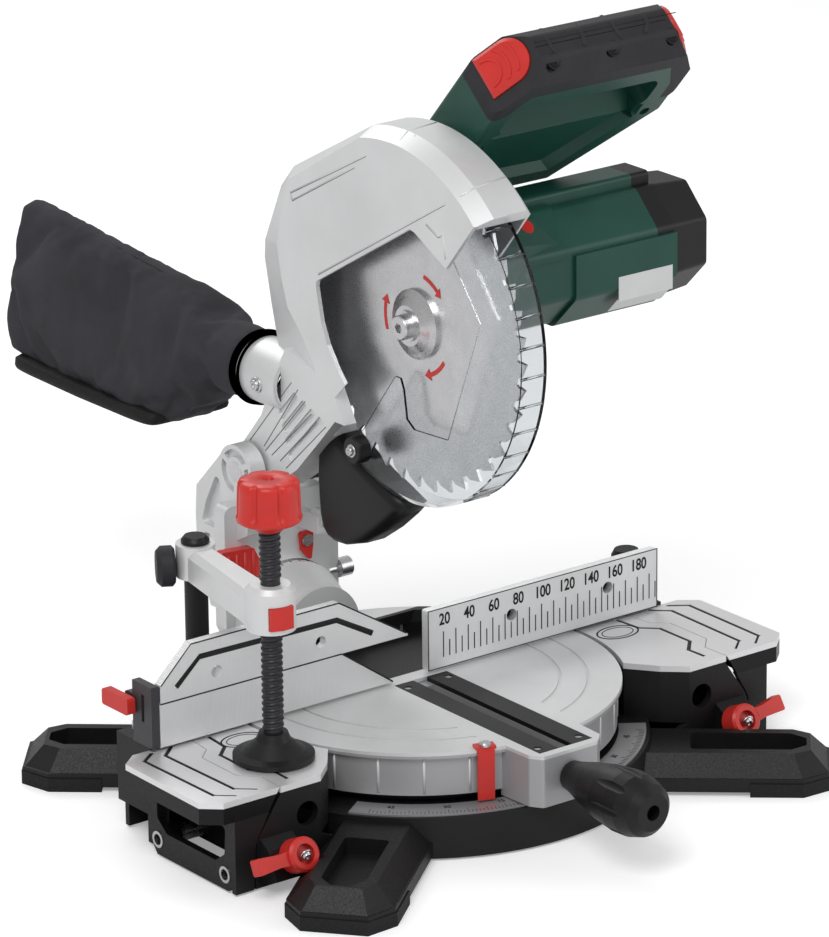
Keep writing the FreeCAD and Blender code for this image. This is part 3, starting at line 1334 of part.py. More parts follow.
def make_grip():
    edge = [(22, 131), (22, 139), (47, loop_top_a), (153, loop_top_a), (178, 139), (178, 126), (172, 116),
        (165, 116), (165, 131),
            (155, 151), (45, 151), (32, 134)]
    bar = prism(edge, "xy", loop_rear_b, loop_front_b)
    section = [(100, -57), (162, -57), (175, -69, 7), (175, -86, 7), (163, -97, 5), (100, -97)]
    bar = bar.common(prism(section, "yz", 0, 200))
    bar = bar.common(prism([(22, -57), (178, -57), (178, -97), (22, -97)], "xz", 100, 200, loop_round))
    pocket = box(trigger_left - 1, trigger_right + 1, 140, 161, trigger_rear_b - 0.4, trigger_front_b + 0.4)
    seam = prism([(176, -77.4), (176, -78.6), (174.2, -78)], "yz", 40, 150)
    holes = [rod((x, a, -66.5), (x, a, -50), 4.4) for x, a in ((53.9, 172), (101.1, 173.3), (149.1, 172.6))]
    wells = []
    for right in (False, True):
        well = prism(button_outline(-button_gap), "xy", -8, button_depth + button_travel + button_gap)
        wells.append(on_slope(well, right))
    return on_loop(bar.cut([pocket, seam] + holes + wells))


def make_trigger():
    profile = [(trigger_left, 131, 6), (trigger_right, 131, 6), (trigger_right, 149), (trigger_left, 149)]
    body = prism(profile, "xy", trigger_rear_b, trigger_front_b)
    front = [e for e in body.Edges if e.BoundBox.YMax < 148 and e.BoundBox.ZLength < 0.1]
    return on_loop(body.makeFillet(3, front))


def make_lock_off(right):
    low = prism(button_outline(0), "xy", -1.5, button_depth)
    crown = loft([outline(button_outline(0), "xy", -1.5), outline(button_outline(2.5), "xy", -3.4)])
    cap = low.fuse(crown)
    ribs = []
    for reach in (9, 15, 21):
        ring = rod((10, button_middle_b, -4.2), (10, button_middle_b, -3.0), reach + 0.8)
        ring = ring.cut(rod((10, button_middle_b, -5), (10, button_middle_b, -2), reach - 0.8))
        ribs.append(ring.common(prism(button_outline(4.0), "xy", -5, -2)))
    return on_loop(on_slope(join([cap] + ribs), right))


def make_bag():
    y0 = hub_y + port_end
    z0 = hub_z + port_dz
    neck = outline([(port_x + u, z0 + v) for u, v in [polar(23.5, 22.5 + 45 * k) for k in range(8)]], "xz",
        y0 + 2)
    throat = outline([(port_x + u, z0 + v) for u, v in [polar(25.0, 22.5 + 45 * k) for k in range(8)]],
        "xz", y0 + 30)
    belly = outline([(-40, 108), (30, 108), (40, 125), (40, 195), (30, 215), (-40, 215), (-50, 195), (-50,
        125)], "xz", y0 + 110)
    end = outline([(-40, 112), (30, 112), (40, 130), (40, 205), (30, 228), (-40, 228), (-50, 205), (-50,
        130)], "xz", y0 + 255)
    return loft([neck, throat, belly, end])


def make_bag_ring():
    y0 = hub_y + port_end - 4
    return turned([(port_bore + 0.3, 0), (24.6, 0), (24.6, 6), (port_bore + 0.3, 6)], (port_x, y0,
        hub_z + port_dz), (0, 1, 0))


def make_post():
    post = turned([(0, post_foot), (post_radius, post_foot), (post_radius, post_top), (0, post_top)],
        (post_x, post_y, 0))
    cap = turned([(0, post_top), (9, post_top), (9, post_top + 2), (7, post_top + 4.5), (0,
        post_top + 4.5)], (post_x, post_y, 0))
    return post.fuse(cap)


def make_clamp_arm():
    reach = math.hypot(spindle_x - post_x, spindle_y - post_y)
    angle = math.degrees(math.atan2(spindle_y - post_y, spindle_x - post_x))
    z0, z1 = clamp_arm_bottom, clamp_arm_top - 0.3
    beam = loft([outline([(-4, v0 - 9), (reach, v0 - 12), (reach, 12 - v0), (-4, 9 - v0)], "xy", z)
                 for v0, z in ((0, z0), (0, z1 - 6), (3.5, z1 - 1.5))])
    nose = turned([(0, z0), (15.5, z0), (15.5, z1 + 4), (12.5, z1 + 7), (0, z1 + 7)], (reach, 0, 0))
    eye = turned([(0, z0), (12.5, z0), (12.5, z1), (0, z1)])
    arm = join([beam, nose, eye])
    slot = box(reach - 4.5, reach + 20, -8.2, 8.2, z0 + 3, z0 + 18)
    arm = arm.cut([rod((0, 0, 0), (0, 0, 200), post_radius + running_gap), rod((reach, 0, 0),
        (reach, 0, 200), spindle_radius + 0.3)])
    arm = arm.cut(slot)
    u, v = polar(40, arm_knob_angle)
    arm = arm.cut(rod((0, 0, z0 + arm_knob_rise), (u, v, z0 + arm_knob_rise), 3.05))
    arm = turned_about(arm, (0, 0, 0), (0, 0, 1), angle)
    return moved(arm, post_x, post_y, 0)


def clamp_frame(shape):
    angle = math.degrees(math.atan2(spindle_y - post_y, spindle_x - post_x))
    return moved(turned_about(shape, (0, 0, 0), (0, 0, 1), angle), post_x, post_y, 0)


def make_clamp_release():
    reach = math.hypot(spindle_x - post_x, spindle_y - post_y)
    z0 = clamp_arm_bottom
    body = prism([(reach - 2, -7.9), (reach + 15.5, -7.9), (reach + 17.2, 0), (reach + 15.5, 7.9),
        (reach - 2, 7.9)], "xy", z0 + 3.3, z0 + 17.7)
    return clamp_frame(body.cut(rod((reach, 0, 0), (reach, 0, 200),
        spindle_radius + 0.3).fuse(rod((reach + 2.3, 0, 0), (reach + 2.3, 0, 200), spindle_radius + 0.3))))


def make_arm_knob():
    z = clamp_arm_bottom + arm_knob_rise
    knob = turned([(0, post_radius + 0.3), (3.0, post_radius + 0.3), (3.0, 13.2), (11, 13.2), (13, 15),
        (13, 22), (10, 25), (0, 25)],
                  (0, 0, z), (polar(1, arm_knob_angle) + (0,)))
    return clamp_frame(knob)


def make_spindle():
    shaft = rod((spindle_x, spindle_y, 8.3), (spindle_x, spindle_y, knob_bottom + 12), spindle_radius)
    return shaft


def make_clamp_knob():
    base = turned([(0, knob_bottom), (10.5, knob_bottom), (10.5, knob_bottom + 8), (knob_radius,
        knob_bottom + 8.5),
                   (knob_radius, knob_bottom + 11), (knob_radius - 2.5, knob_bottom + 12.5), (0,
                       knob_bottom + 12.5)],
                  (spindle_x, spindle_y, 0))
    lobes = [polar(knob_radius - (3.0 if k % 2 == 0 else 6.0), 15 * k) for k in range(24)]
    crown = prism([(spindle_x + u, spindle_y + v) for u, v in lobes], "xy", knob_bottom + 12, knob_top - 3,
        2)
    top = turned([(0, knob_top - 4), (knob_radius - 4.5, knob_top - 4), (knob_radius - 6.5, knob_top), (0,
        knob_top)],
                 (spindle_x, spindle_y, 0))
    knob = join([base, crown, top])
    return knob.cut([rod((spindle_x, spindle_y, knob_bottom - 10), (spindle_x, spindle_y,
        knob_bottom + 12), spindle_radius),
                     rod((spindle_x, spindle_y, knob_top - 6), (spindle_x, spindle_y, knob_top + 1), 4)])


def make_clamp_pad():
    z0 = 1.0
    pad = turned([(0, z0), (pad_radius, z0), (pad_radius, z0 + 3), (20, z0 + 4.5), (11, z0 + 12), (9,
        z0 + 17), (0, z0 + 17)],
                 (spindle_x, spindle_y, 0))
    return pad.cut(rod((spindle_x, spindle_y, 8.0), (spindle_x, spindle_y, 40),
        spindle_radius + running_gap))


def make_mitre_grip():
    profile = [(0, 0), (9.5, 0), (10.5, 6), (14.5, 20), (18.5, 38), (20.5, 54), (20, 64), (17, 74), (12,
        79), (5, 79), (5, 71), (0, 71)]
    grip = turned(profile, (-1.0, grip_start, grip_z), (0, -1, 0))
    flutes = []
    for k in range(8):
        y, x = 0, 0
        cutter = rod((0, -72, 0), (0, -10, 0), 3.6)
        u, v = polar(22.5, 45 * k)
        flutes.append(moved(cutter, -1.0 + u, grip_start + 4, grip_z + v))
    threaded = rod((-1.0, grip_start + 36.0, grip_z), (-1.0, grip_start - 30, grip_z), 5.0)
    return join([grip.cut(flutes), threaded])


# The spindle lock pushes in along the slope of the gear case, from low to high in w.
def lock_button(low, high, radius):
    y, z = hub(*lock_place)
    out = V(0, -0.613, 0.79)
    return Part.makeCylinder(radius, high - low, V(lock_x, y, z) + out * low, out)


def make_spindle_lock():
    return lock_button(-button_depth, 1.5, lock_radius)


parts = {
    "base_casting": make_base(),
    "rubber_feet": make_rubber_feet(),
    "side_plates": Part.makeCompound([make_side_plate(), mirrored(make_side_plate())]),
    "mitre_scale": make_mitre_scale(),
    "base_bolts": make_base_bolts(),
    "right_fence": make_right_fence(),
    "left_fence": make_left_fence(),
    "fence_end_bracket": make_fence_end_bracket(),
    "sliding_fence": make_sliding_fence(),
    "fence_lock_handle": make_fence_lock(),
    "right_extension_top": make_extension_top(),
    "left_extension_top": mirrored(make_extension_top()),
    "right_extension_frame": make_extension_frame(),
    "left_extension_frame": mirrored(make_extension_frame()),
    "right_extension_rods": make_extension_rods(),
    "left_extension_rods": mirrored(make_extension_rods()),
    "right_lock_lever": make_lock_lever(1, 8),
    "left_lock_lever": make_lock_lever(-1, 180),
    "turntable": make_turntable(),
    "kerf_inserts": Part.makeCompound([make_kerf_insert(-1), make_kerf_insert(1)]),
    "table_fasteners": make_table_fasteners(),
    "mitre_pointer": make_mitre_pointer(),
    "mitre_grip": make_mitre_grip(),
    "bevel_bracket": make_bracket(),
    "head_pivot_shaft": make_pivot_shaft(),
    "return_spring": make_torsion_spring(),
    "bevel_pointer": make_bevel_pointer(),
    "bracket_pins": Part.makeCompound([make_bevel_screw(), make_bevel_lever_screw(), make_link_pin()]),
    "bevel_stop_bolt": make_stop_bolt(),
    "bevel_lock_lever": make_bevel_lever(),
    "head_casting": make_head_casting(),
    "motor_housing": make_motor_housing(),
    "motor_end_cap": make_motor_cap(),
    "stator": make_stator(),
    "head_bearings": Part.makeCompound([make_spindle_bush()] + make_bearings()),
    "armature": make_armature(),
    "driven_gear": make_driven_gear(),
    "arbor": make_arbor(),
    "saw_blade": make_blade(),
    "outer_flange": make_outer_flange(),
    "blade_bolt": make_blade_bolt(),
    "lower_guard": make_lower_guard(),
    "guard_roller": make_guard_roller(),
    "guard_link": make_guard_link(),
    "deflector": make_deflector(),
    "handle_front_shell": make_handle_shell(True),
    "handle_rear_shell": make_handle_shell(False),
    "handle_grip": make_grip(),
    "trigger": make_trigger(),
    "lock_off_left": make_lock_off(False),
    "lock_off_right": make_lock_off(True),
    "spindle_lock": make_spindle_lock(),
    "dust_bag": Part.makeCompound([make_bag(), make_bag_ring()]),
    "clamp_post": make_post(),
    "clamp_arm": make_clamp_arm(),
    "clamp_release": make_clamp_release(),
    "clamp_arm_knob": make_arm_knob(),
    "clamp_spindle": make_spindle(),
    "clamp_knob": make_clamp_knob(),
    "clamp_pad": make_clamp_pad(),
}
for name, shape in parts.items():
    save(name, shape)
    print(name, len(shape.Solids), round(shape.Volume), shape.isValid())
print(len(parts), "nodes")
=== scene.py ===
# Looks for the mitre saw: finishes, the cloth dust bag, the fine details and the studio.
import bpy
import bmesh
import math
from mathutils import Matrix, Vector


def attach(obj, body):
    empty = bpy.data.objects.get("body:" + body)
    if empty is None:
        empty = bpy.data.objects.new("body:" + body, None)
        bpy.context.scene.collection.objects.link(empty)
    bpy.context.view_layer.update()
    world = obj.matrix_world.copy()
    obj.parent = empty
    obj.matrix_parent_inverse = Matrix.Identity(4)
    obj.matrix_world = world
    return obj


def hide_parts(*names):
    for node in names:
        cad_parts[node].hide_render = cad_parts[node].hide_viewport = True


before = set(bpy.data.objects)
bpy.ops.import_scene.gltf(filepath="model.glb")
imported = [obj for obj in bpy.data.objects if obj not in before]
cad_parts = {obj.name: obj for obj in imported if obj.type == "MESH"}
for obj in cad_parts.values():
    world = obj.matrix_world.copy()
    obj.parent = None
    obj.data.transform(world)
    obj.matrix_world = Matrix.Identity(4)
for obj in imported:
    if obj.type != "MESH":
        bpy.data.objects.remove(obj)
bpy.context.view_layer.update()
print("frame loaded:", len(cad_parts), "nodes")

# shade is how far the colour varies, rough the least and most roughness, patch and grain the noise scales
finishes = {
    "silverPaint": {"colour": (0.70, 0.705, 0.71), "shade": 0.08, "metal": 0.4, "rough": (0.36, 0.50),
                    "grain": 900, "bump": 0.12, "patch": 14},
    "groundTop": {"colour": (0.80, 0.80, 0.81), "shade": 0.05, "metal": 0.6, "rough": (0.30, 0.44),
                  "grain": 500, "bump": 0.05, "patch": 9},
    "brushedPlate": {"colour": (0.78, 0.785, 0.79), "shade": 0.07, "metal": 0.45, "rough": (0.30, 0.46),
                     "grain": 700, "bump": 0.10, "patch": 10, "stretch": (0.04, 1, 1), "ribs": (330, 0.35)},
    "blackPaint": {"colour": (0.007, 0.007, 0.008), "shade": 0.25, "metal": 0.0, "rough": (0.38, 0.56),
                   "grain": 800, "bump": 0.16, "patch": 20},
    "rubber": {"colour": (0.010, 0.010, 0.011), "shade": 0.2, "metal": 0.0, "rough": (0.62, 0.82),
               "grain": 500, "bump": 0.10, "patch": 30},
    "blackPlastic": {"colour": (0.006, 0.006, 0.007), "shade": 0.2, "metal": 0.0, "rough": (0.34, 0.50),
                     "grain": 1500, "bump": 0.10, "patch": 30},
    "gripRubber": {"colour": (0.020, 0.020, 0.023), "shade": 0.2, "metal": 0.0, "rough": (0.50, 0.68),
                   "grain": 1300, "bump": 0.14, "patch": 40},
    "greenPlastic": {"colour": (0.010, 0.062, 0.044), "shade": 0.12, "metal": 0.0, "rough": (0.30, 0.44),
                     "grain": 1400, "bump": 0.10, "patch": 30},
    "redPlastic": {"colour": (0.58, 0.030, 0.024), "shade": 0.08, "metal": 0.0, "rough": (0.28, 0.42),
                   "grain": 1200, "bump": 0.06, "patch": 40},
    "steel": {"colour": (0.62, 0.62, 0.63), "shade": 0.08, "metal": 1.0, "rough": (0.22, 0.38),
              "grain": 900, "bump": 0.04, "patch": 60},
    "darkSteel": {"colour": (0.045, 0.045, 0.05), "shade": 0.2, "metal": 0.7, "rough": (0.28, 0.46),
                  "grain": 900, "bump": 0.06, "patch": 60},
    "bagCloth": {"colour": (0.036, 0.036, 0.042), "shade": 0.25, "metal": 0.0, "rough": (0.82, 0.95),
                 "grain": 1100, "bump": 0.5, "patch": 25},
    "bagBlack": {"colour": (0.006, 0.006, 0.006), "shade": 0.25, "metal": 0.0, "rough": (0.55, 0.75),
                 "grain": 700, "bump": 0.2, "patch": 25},
    "ink": {"colour": (0.008, 0.008, 0.009), "shade": 0.3, "metal": 0.0, "rough": (0.45, 0.65),
            "grain": 900, "bump": 0.05, "patch": 40},
    "shadowLine": {"colour": (0.16, 0.16, 0.17), "shade": 0.2, "metal": 0.2, "rough": (0.5, 0.7),
                   "grain": 900, "bump": 0.05, "patch": 40},
    "labelPlate": {"colour": (0.62, 0.63, 0.63), "shade": 0.05, "metal": 0.5, "rough": (0.3, 0.45),
                   "grain": 900, "bump": 0.05, "patch": 40},
    "endBracket": {"colour": (0.05, 0.05, 0.054), "shade": 0.2, "metal": 0.3, "rough": (0.4, 0.55),
                   "grain": 900, "bump": 0.1, "patch": 40},
    "bronze": {"colour": (0.55, 0.38, 0.18), "shade": 0.1, "metal": 1.0, "rough": (0.30, 0.48),
               "grain": 900, "bump": 0.05, "patch": 60},
}
# bands are a second colour between two levels in metres along one axis
# the turntable is darker grey below 61.8 mm and black between y 18.5 and 111.5 mm, over its sunken rear
finishes["tablePaint"] = dict(finishes["silverPaint"], bands=[
    ((0.40, 0.40, 0.41), "Z", (0.0, 0.0618)), ((0.010, 0.010, 0.011), "Y", (0.0185, 0.1115))])
finishes["extensionTop"] = dict(finishes["groundTop"], bands=[((0.008, 0.008, 0.009), "Z", (0.0, 0.0602))])
finishes["scaleStrip"] = dict(finishes["groundTop"], colour=(0.42, 0.42, 0.43))
clearPlastic = {"tint": (0.93, 0.95, 0.96), "rough": 0.06, "ior": 1.25}


def addNode(tree, kind, place, **values):
    node = tree.nodes.new(kind)
    node.location = place
    for key, value in values.items():
        if key in node.inputs:
            node.inputs[key].default_value = value
        else:
            setattr(node, key, value)
    return node


def makeFinish(name, look):
    mat = bpy.data.materials.new(name)
    mat.use_nodes = True
    tree = mat.node_tree
    link = tree.links.new
    shader = tree.nodes["Principled BSDF"]
    coords = addNode(tree, "ShaderNodeTexCoord", (-1100, 0))
    mapping = addNode(tree, "ShaderNodeMapping", (-920, 0), Scale=look.get("stretch", (1, 1, 1)))
    link(coords.outputs["Object"], mapping.inputs["Vector"])
    patches = addNode(tree, "ShaderNodeTexNoise", (-700, 260), Scale=look["patch"], Detail=4.0, Roughness=0.55)
    grain = addNode(tree, "ShaderNodeTexNoise", (-700, -120), Scale=look["grain"], Detail=2.0, Roughness=0.6)
    link(coords.outputs["Object"], patches.inputs["Vector"])
    link(mapping.outputs["Vector"], grain.inputs["Vector"])
    ramp = addNode(tree, "ShaderNodeValToRGB", (-480, 260))
    dark, light = ramp.color_ramp.elements
    dark.position, light.position = 0.3, 0.7
    dark.color = [c * (1 - look["shade"]) for c in look["colour"]] + [1]
    light.color = [min(1, c * (1 + look["shade"] * 0.6)) for c in look["colour"]] + [1]
    link(patches.outputs["Fac"], ramp.inputs["Fac"])
    link(ramp.outputs["Color"], shader.inputs["Base Color"])
    gloss = addNode(tree, "ShaderNodeMapRange", (-480, 0), **{
        "From Min": 0.3, "From Max": 0.7, "To Min": look["rough"][0], "To Max": look["rough"][1]})
    link(grain.outputs["Fac"], gloss.inputs["Value"])
    link(gloss.outputs["Result"], shader.inputs["Roughness"])
    bump = addNode(tree, "ShaderNodeBump", (-260, -200), Strength=look["bump"], Distance=0.0004)
    link(grain.outputs["Fac"], bump.inputs["Height"])
    link(bump.outputs["Normal"], shader.inputs["Normal"])
    shader.inputs["Metallic"].default_value = look["metal"]
    shader.inputs["Specular IOR Level"].default_value = 0.5 if look["metal"] > 0.1 else 0.32
    return mat


def addBand(mat, colour, axis, levels):
    tree = mat.node_tree
    link = tree.links.new
    shader = tree.nodes["Principled BSDF"]
    coords = addNode(tree, "ShaderNodeTexCoord", (-1100, 600))
    parts = addNode(tree, "ShaderNodeSeparateXYZ", (-900, 600))
    link(coords.outputs["Object"], parts.inputs["Vector"])
    above = addNode(tree, "ShaderNodeMath", (-700, 700), operation="GREATER_THAN")
    below = addNode(tree, "ShaderNodeMath", (-700, 540), operation="LESS_THAN")
    for side, level in ((above, levels[0]), (below, levels[1])):
        side.inputs[1].default_value = level
        link(parts.outputs[axis], side.inputs[0])
    between = addNode(tree, "ShaderNodeMath", (-500, 640), operation="MULTIPLY")
    link(above.outputs[0], between.inputs[0])
    link(below.outputs[0], between.inputs[1])
    mix = addNode(tree, "ShaderNodeMix", (-120, 400), data_type="RGBA")
    link(between.outputs[0], mix.inputs[0])
    plain, second = [i for i in mix.inputs if i.type == "RGBA"]
    link(shader.inputs["Base Color"].links[0].from_socket, plain)
    second.default_value = colour + (1,)
    link([o for o in mix.outputs if o.type == "RGBA"][0], shader.inputs["Base Color"])


def addRibs(mat, scale, strength):
    # fine upright machining lines on the fence plates
    tree = mat.node_tree
    grainBump = [n for n in tree.nodes if n.type == "BUMP"][0]
    coords = addNode(tree, "ShaderNodeTexCoord", (-1100, -500))
    wave = addNode(tree, "ShaderNodeTexWave", (-800, -500), wave_type="BANDS", bands_direction="X", Scale=scale,
                   Distortion=0.6, Detail=2.0)
    tree.links.new(coords.outputs["Object"], wave.inputs["Vector"])
    bump = addNode(tree, "ShaderNodeBump", (-500, -500), Strength=strength, Distance=0.0005)
    tree.links.new(wave.outputs["Fac"], bump.inputs["Height"])
    tree.links.new(bump.outputs["Normal"], grainBump.inputs["Normal"])


def makeClear(name, look):
    mat = bpy.data.materials.new(name)
    mat.use_nodes = True
    shader = mat.node_tree.nodes["Principled BSDF"]
    shader.inputs["Base Color"].default_value = look["tint"] + (1,)
    shader.inputs["Roughness"].default_value = look["rough"]
    shader.inputs["Transmission Weight"].default_value = 1.0
    shader.inputs["IOR"].default_value = look["ior"]
    return mat


finish = {"clearGuard": makeClear("clearGuard", clearPlastic)}
for name, look in finishes.items():
    finish[name] = makeFinish(name, look)
    for band in look.get("bands", []):
        addBand(finish[name], *band)
    if "ribs" in look:
        addRibs(finish[name], *look["ribs"])

nodeFinish = {
    "silverPaint": ["head_casting", "bevel_bracket", "clamp_arm"],
    "tablePaint": ["turntable"],
    "groundTop": ["side_plates"],
    "extensionTop": ["right_extension_top", "left_extension_top"],
    "scaleStrip": ["mitre_scale"],
    "brushedPlate": ["right_fence", "left_fence", "sliding_fence"],
    "endBracket": ["fence_end_bracket"],
    "blackPaint": ["base_casting", "right_extension_frame", "left_extension_frame", "clamp_post", "clamp_pad"],
    "rubber": ["rubber_feet"],
    "blackPlastic": ["kerf_inserts", "motor_end_cap", "guard_roller", "deflector", "trigger", "mitre_grip"],
    "gripRubber": ["handle_grip", "clamp_arm_knob"],
    "greenPlastic": ["motor_housing", "handle_front_shell", "handle_rear_shell"],
    "redPlastic": ["right_lock_lever", "left_lock_lever", "fence_lock_handle", "mitre_pointer", "bevel_pointer",
                   "bevel_lock_lever", "lock_off_left", "lock_off_right", "spindle_lock", "clamp_release",
                   "clamp_knob"],
    "steel": ["base_bolts", "right_extension_rods", "left_extension_rods", "table_fasteners",
              "head_pivot_shaft", "bracket_pins", "bevel_stop_bolt", "stator", "armature", "driven_gear",
              "arbor", "saw_blade", "outer_flange", "blade_bolt"],
    "darkSteel": ["return_spring", "clamp_spindle", "guard_link"],
    "bronze": ["head_bearings"],
    "clearGuard": ["lower_guard"],
}
for name, nodes in nodeFinish.items():
    for node in nodes:
        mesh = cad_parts[node].data
        mesh.materials.clear()
        mesh.materials.append(finish[name])
print("finishes on CAD nodes:", sum(len(n) for n in nodeFinish.values()))


# makers of the fine pieces, which work in millimetres from the middle of the bench bolts
def newPiece(name, bm, material, body, smooth=True):
    bmesh.ops.remove_doubles(bm, verts=bm.verts, dist=1e-6)
    bmesh.ops.recalc_face_normals(bm, faces=bm.faces)
    mesh = bpy.data.meshes.new(name)
    bm.to_mesh(mesh)
    bm.free()
    for face in mesh.polygons:
        face.use_smooth = smooth
    piece = bpy.data.objects.new(name, mesh)
    bpy.context.scene.collection.objects.link(piece)
    mesh.materials.append(material)
    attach(piece, body)
    return piece


def edgesOf(ring):
    return list(dict.fromkeys(e for v in ring["verts"] for e in v.link_edges))


def unitRing(bm, segments):
    # a circle of radius 1 with each vertex's cosine and sine, for a ring that is shaped by hand
    ring = bmesh.ops.create_circle(bm, segments=segments, radius=1)
    turns = [math.atan2(v.co.y, v.co.x) for v in ring["verts"]]
    return ring, [(v, math.cos(turn), math.sin(turn)) for v, turn in zip(ring["verts"], turns)]


def joinRings(bm, rings, ends=True):
    for near, far in zip(rings, rings[1:]):
        bmesh.ops.bridge_loops(bm, edges=near + far)
    if ends:
        bmesh.ops.contextual_create(bm, geom=rings[0])
        bmesh.ops.contextual_create(bm, geom=rings[-1])


def bead(bm, points, normals, halfWide, halfHigh, segments=8):
    # a raised line through points, with one way up for all of them or one each
    path = [Vector(p) / 1000 for p in points]
    rings = []
    for k, here in enumerate(path):
        ahead = (path[min(k + 1, len(path) - 1)] - path[max(k - 1, 0)]).normalized()
        up = Vector(normals[k] if hasattr(normals[0], "__len__") else normals).normalized()
        across = ahead.cross(up).normalized()
        up = across.cross(ahead).normalized()
        across, up = across * halfWide / 1000, up * halfHigh / 1000
        turn = Matrix((across, up, across.cross(up).normalized())).transposed().to_4x4()
        rings.append(edgesOf(bmesh.ops.create_circle(bm, segments=segments, radius=1,
                                                     matrix=Matrix.Translation(here) @ turn)))
    joinRings(bm, rings)


def turnedPiece(bm, profile, centre, axis, steps=32):
    # profile is (radius, along) pairs round an axis through centre
    turn = Vector((0, 0, 1)).rotation_difference(Vector(axis).normalized()).to_matrix().to_4x4()
    place = Matrix.Translation(Vector(centre) / 1000) @ turn
    rings = []
    for radius, along in profile:
        at = place @ Matrix.Translation((0, 0, along / 1000))
        rings.append(edgesOf(bmesh.ops.create_circle(bm, segments=steps, radius=radius / 1000, matrix=at)))
    joinRings(bm, rings)


def tick(bm, centre, size, turn=None):
    place = Matrix.Translation(Vector(centre) / 1000) @ (turn or Matrix.Identity(4))
    bmesh.ops.create_cube(bm, size=1, matrix=place @ Matrix.Diagonal(Vector(size) / 1000).to_4x4())


def facing(centre, across, up):
    x, y = Vector(across).normalized(), Vector(up).normalized()
    return Matrix.Translation(Vector(centre) / 1000) @ Matrix((x, y, x.cross(y))).transposed().to_4x4()


def lettering(name, words, size, places, material, body, squeeze=0.8):
    # each place is a matrix whose x is the reading direction and whose y is up
    joined = bmesh.new()
    for word, place in zip(words, places):
        curve = bpy.data.curves.new(name, "FONT")
        curve.body = word
        curve.size = size / 1000
        curve.align_x = "CENTER"
        curve.align_y = "CENTER"
        curve.extrude = 0.00004
        curve.offset = size * 0.000022
        holder = bpy.data.objects.new(name + "Curve", curve)
        bpy.context.scene.collection.objects.link(holder)
        graph = bpy.context.evaluated_depsgraph_get()
        flat = bpy.data.meshes.new_from_object(holder.evaluated_get(graph))
        flat.transform(place @ Matrix.Diagonal((squeeze, 1, 1, 1)))
        joined.from_mesh(flat)
        bpy.data.objects.remove(holder)
        bpy.data.meshes.remove(flat)
    return newPiece(name, joined, material, body, smooth=False)


# dust bag: sewn cloth on the port, slackened by a cloth run, on a stiff black base panel
dustBag = {
    # in metres, as the cloth run is; lean is how far the top tips sideways, at this taper
    "voxel": 0.0046, "frames": 26, "cap": 0.007, "sides": 64, "lean": (0.0035, 0.6),
    # y, middle x, middle z, half width, half height, squareness, taper to the top
    "rings": [
        (0.1675, -0.006, 0.234, 0.0235, 0.0235, 2, 0), (0.184, -0.006, 0.234, 0.0236, 0.0236, 2, 0),
        (0.199, -0.006, 0.2345, 0.024, 0.0245, 2, 0), (0.209, -0.0065, 0.234, 0.0248, 0.03, 2.1, 0.05),
        (0.219, -0.007, 0.2315, 0.026, 0.0375, 2.3, 0.15), (0.233, -0.007, 0.229, 0.0262, 0.044, 2.7, 0.32),
        (0.247, -0.008, 0.2265, 0.0255, 0.05, 3.6, 0.5), (0.3, -0.0085, 0.2295, 0.024, 0.052, 4.2, 0.58),
        (0.35, -0.0085, 0.233, 0.0235, 0.0533, 4.6, 0.62), (0.395, -0.0085, 0.2365, 0.0232, 0.0537, 4.8, 0.64),
        (0.415, -0.0085, 0.2375, 0.0228, 0.0532, 4.8, 0.64), (0.421, -0.0085, 0.2375, 0.0208, 0.051, 4, 0.58)],
    "cloth": {"quality": 7, "mass": 0.25, "tension_stiffness": 12, "compression_stiffness": 12,
              "shear_stiffness": 4, "bending_stiffness": 0.35, "use_pressure": True,
              "uniform_pressure_force": 0.55, "shrink_min": -0.06, "shrink_max": -0.06,
              "vertex_group_mass": "held", "pin_stiffness": 1},
    # where the cloth is held: the neck, and behind bodyStart the base panel and, less firmly, the top seam
    # seam and base are height, rise per metre, where the rise starts, and depth
    "held": {"neck": (0.186, 0.008), "bodyStart": 0.245, "seam": (0.2765, 0.083, 0.247, 0.009),
             "seamHold": 0.5, "base": (0.1805, 0.04, 0.30, 0.008), "fade": 0.006},
}
bagPanel = {"x": (-42.0, 27.0), "y": (243.0, 409.0), "bulge": 2.2, "squareness": 0.16, "sides": 80,
            # inset and height of each ring from the underside up
            "rings": [(2.5, 178.5), (0.6, 179.7), (0, 181.5), (0.4, 186.0), (3, 188.0)]}
# place along the port and radius of each ring
bagCuff = {"middle": (-6, 234), "rings": [(159.5, 25), (164, 25.8), (168, 24.8)], "bead": 1.8, "inset": 2.2}
bagSeam = [(-15, 411, 289.0), (-15, 385, 287), (-15, 340, 283.5), (-15, 300, 280.5), (-15, 262, 277),
           (-14, 245, 273)]


def bagShell(s):
    bm = bmesh.new()
    rings = []
    lean, leanTaper = s["lean"]
    for y, x, z, halfWide, halfHigh, square, taper in s["rings"]:
        ring, turned = unitRing(bm, s["sides"])
        for vert, u, v in turned:
            u = math.copysign(abs(u) ** (2 / square), u)
            v = math.copysign(abs(v) ** (2 / square), v)
            vert.co = (x - lean * v * taper / leanTaper + halfWide * u * (1 - taper * v), y, z + halfHigh * v)
        rings.append(edgesOf(ring))
    joinRings(bm, rings, ends=False)
    farEnd = bmesh.ops.contextual_create(bm, geom=rings[-1])["faces"]
    bmesh.ops.poke(bm, faces=farEnd)  # a middle point, so that the end doesn't split into long slivers
    bmesh.ops.contextual_create(bm, geom=rings[0])
    bmesh.ops.recalc_face_normals(bm, faces=bm.faces)
    return bm


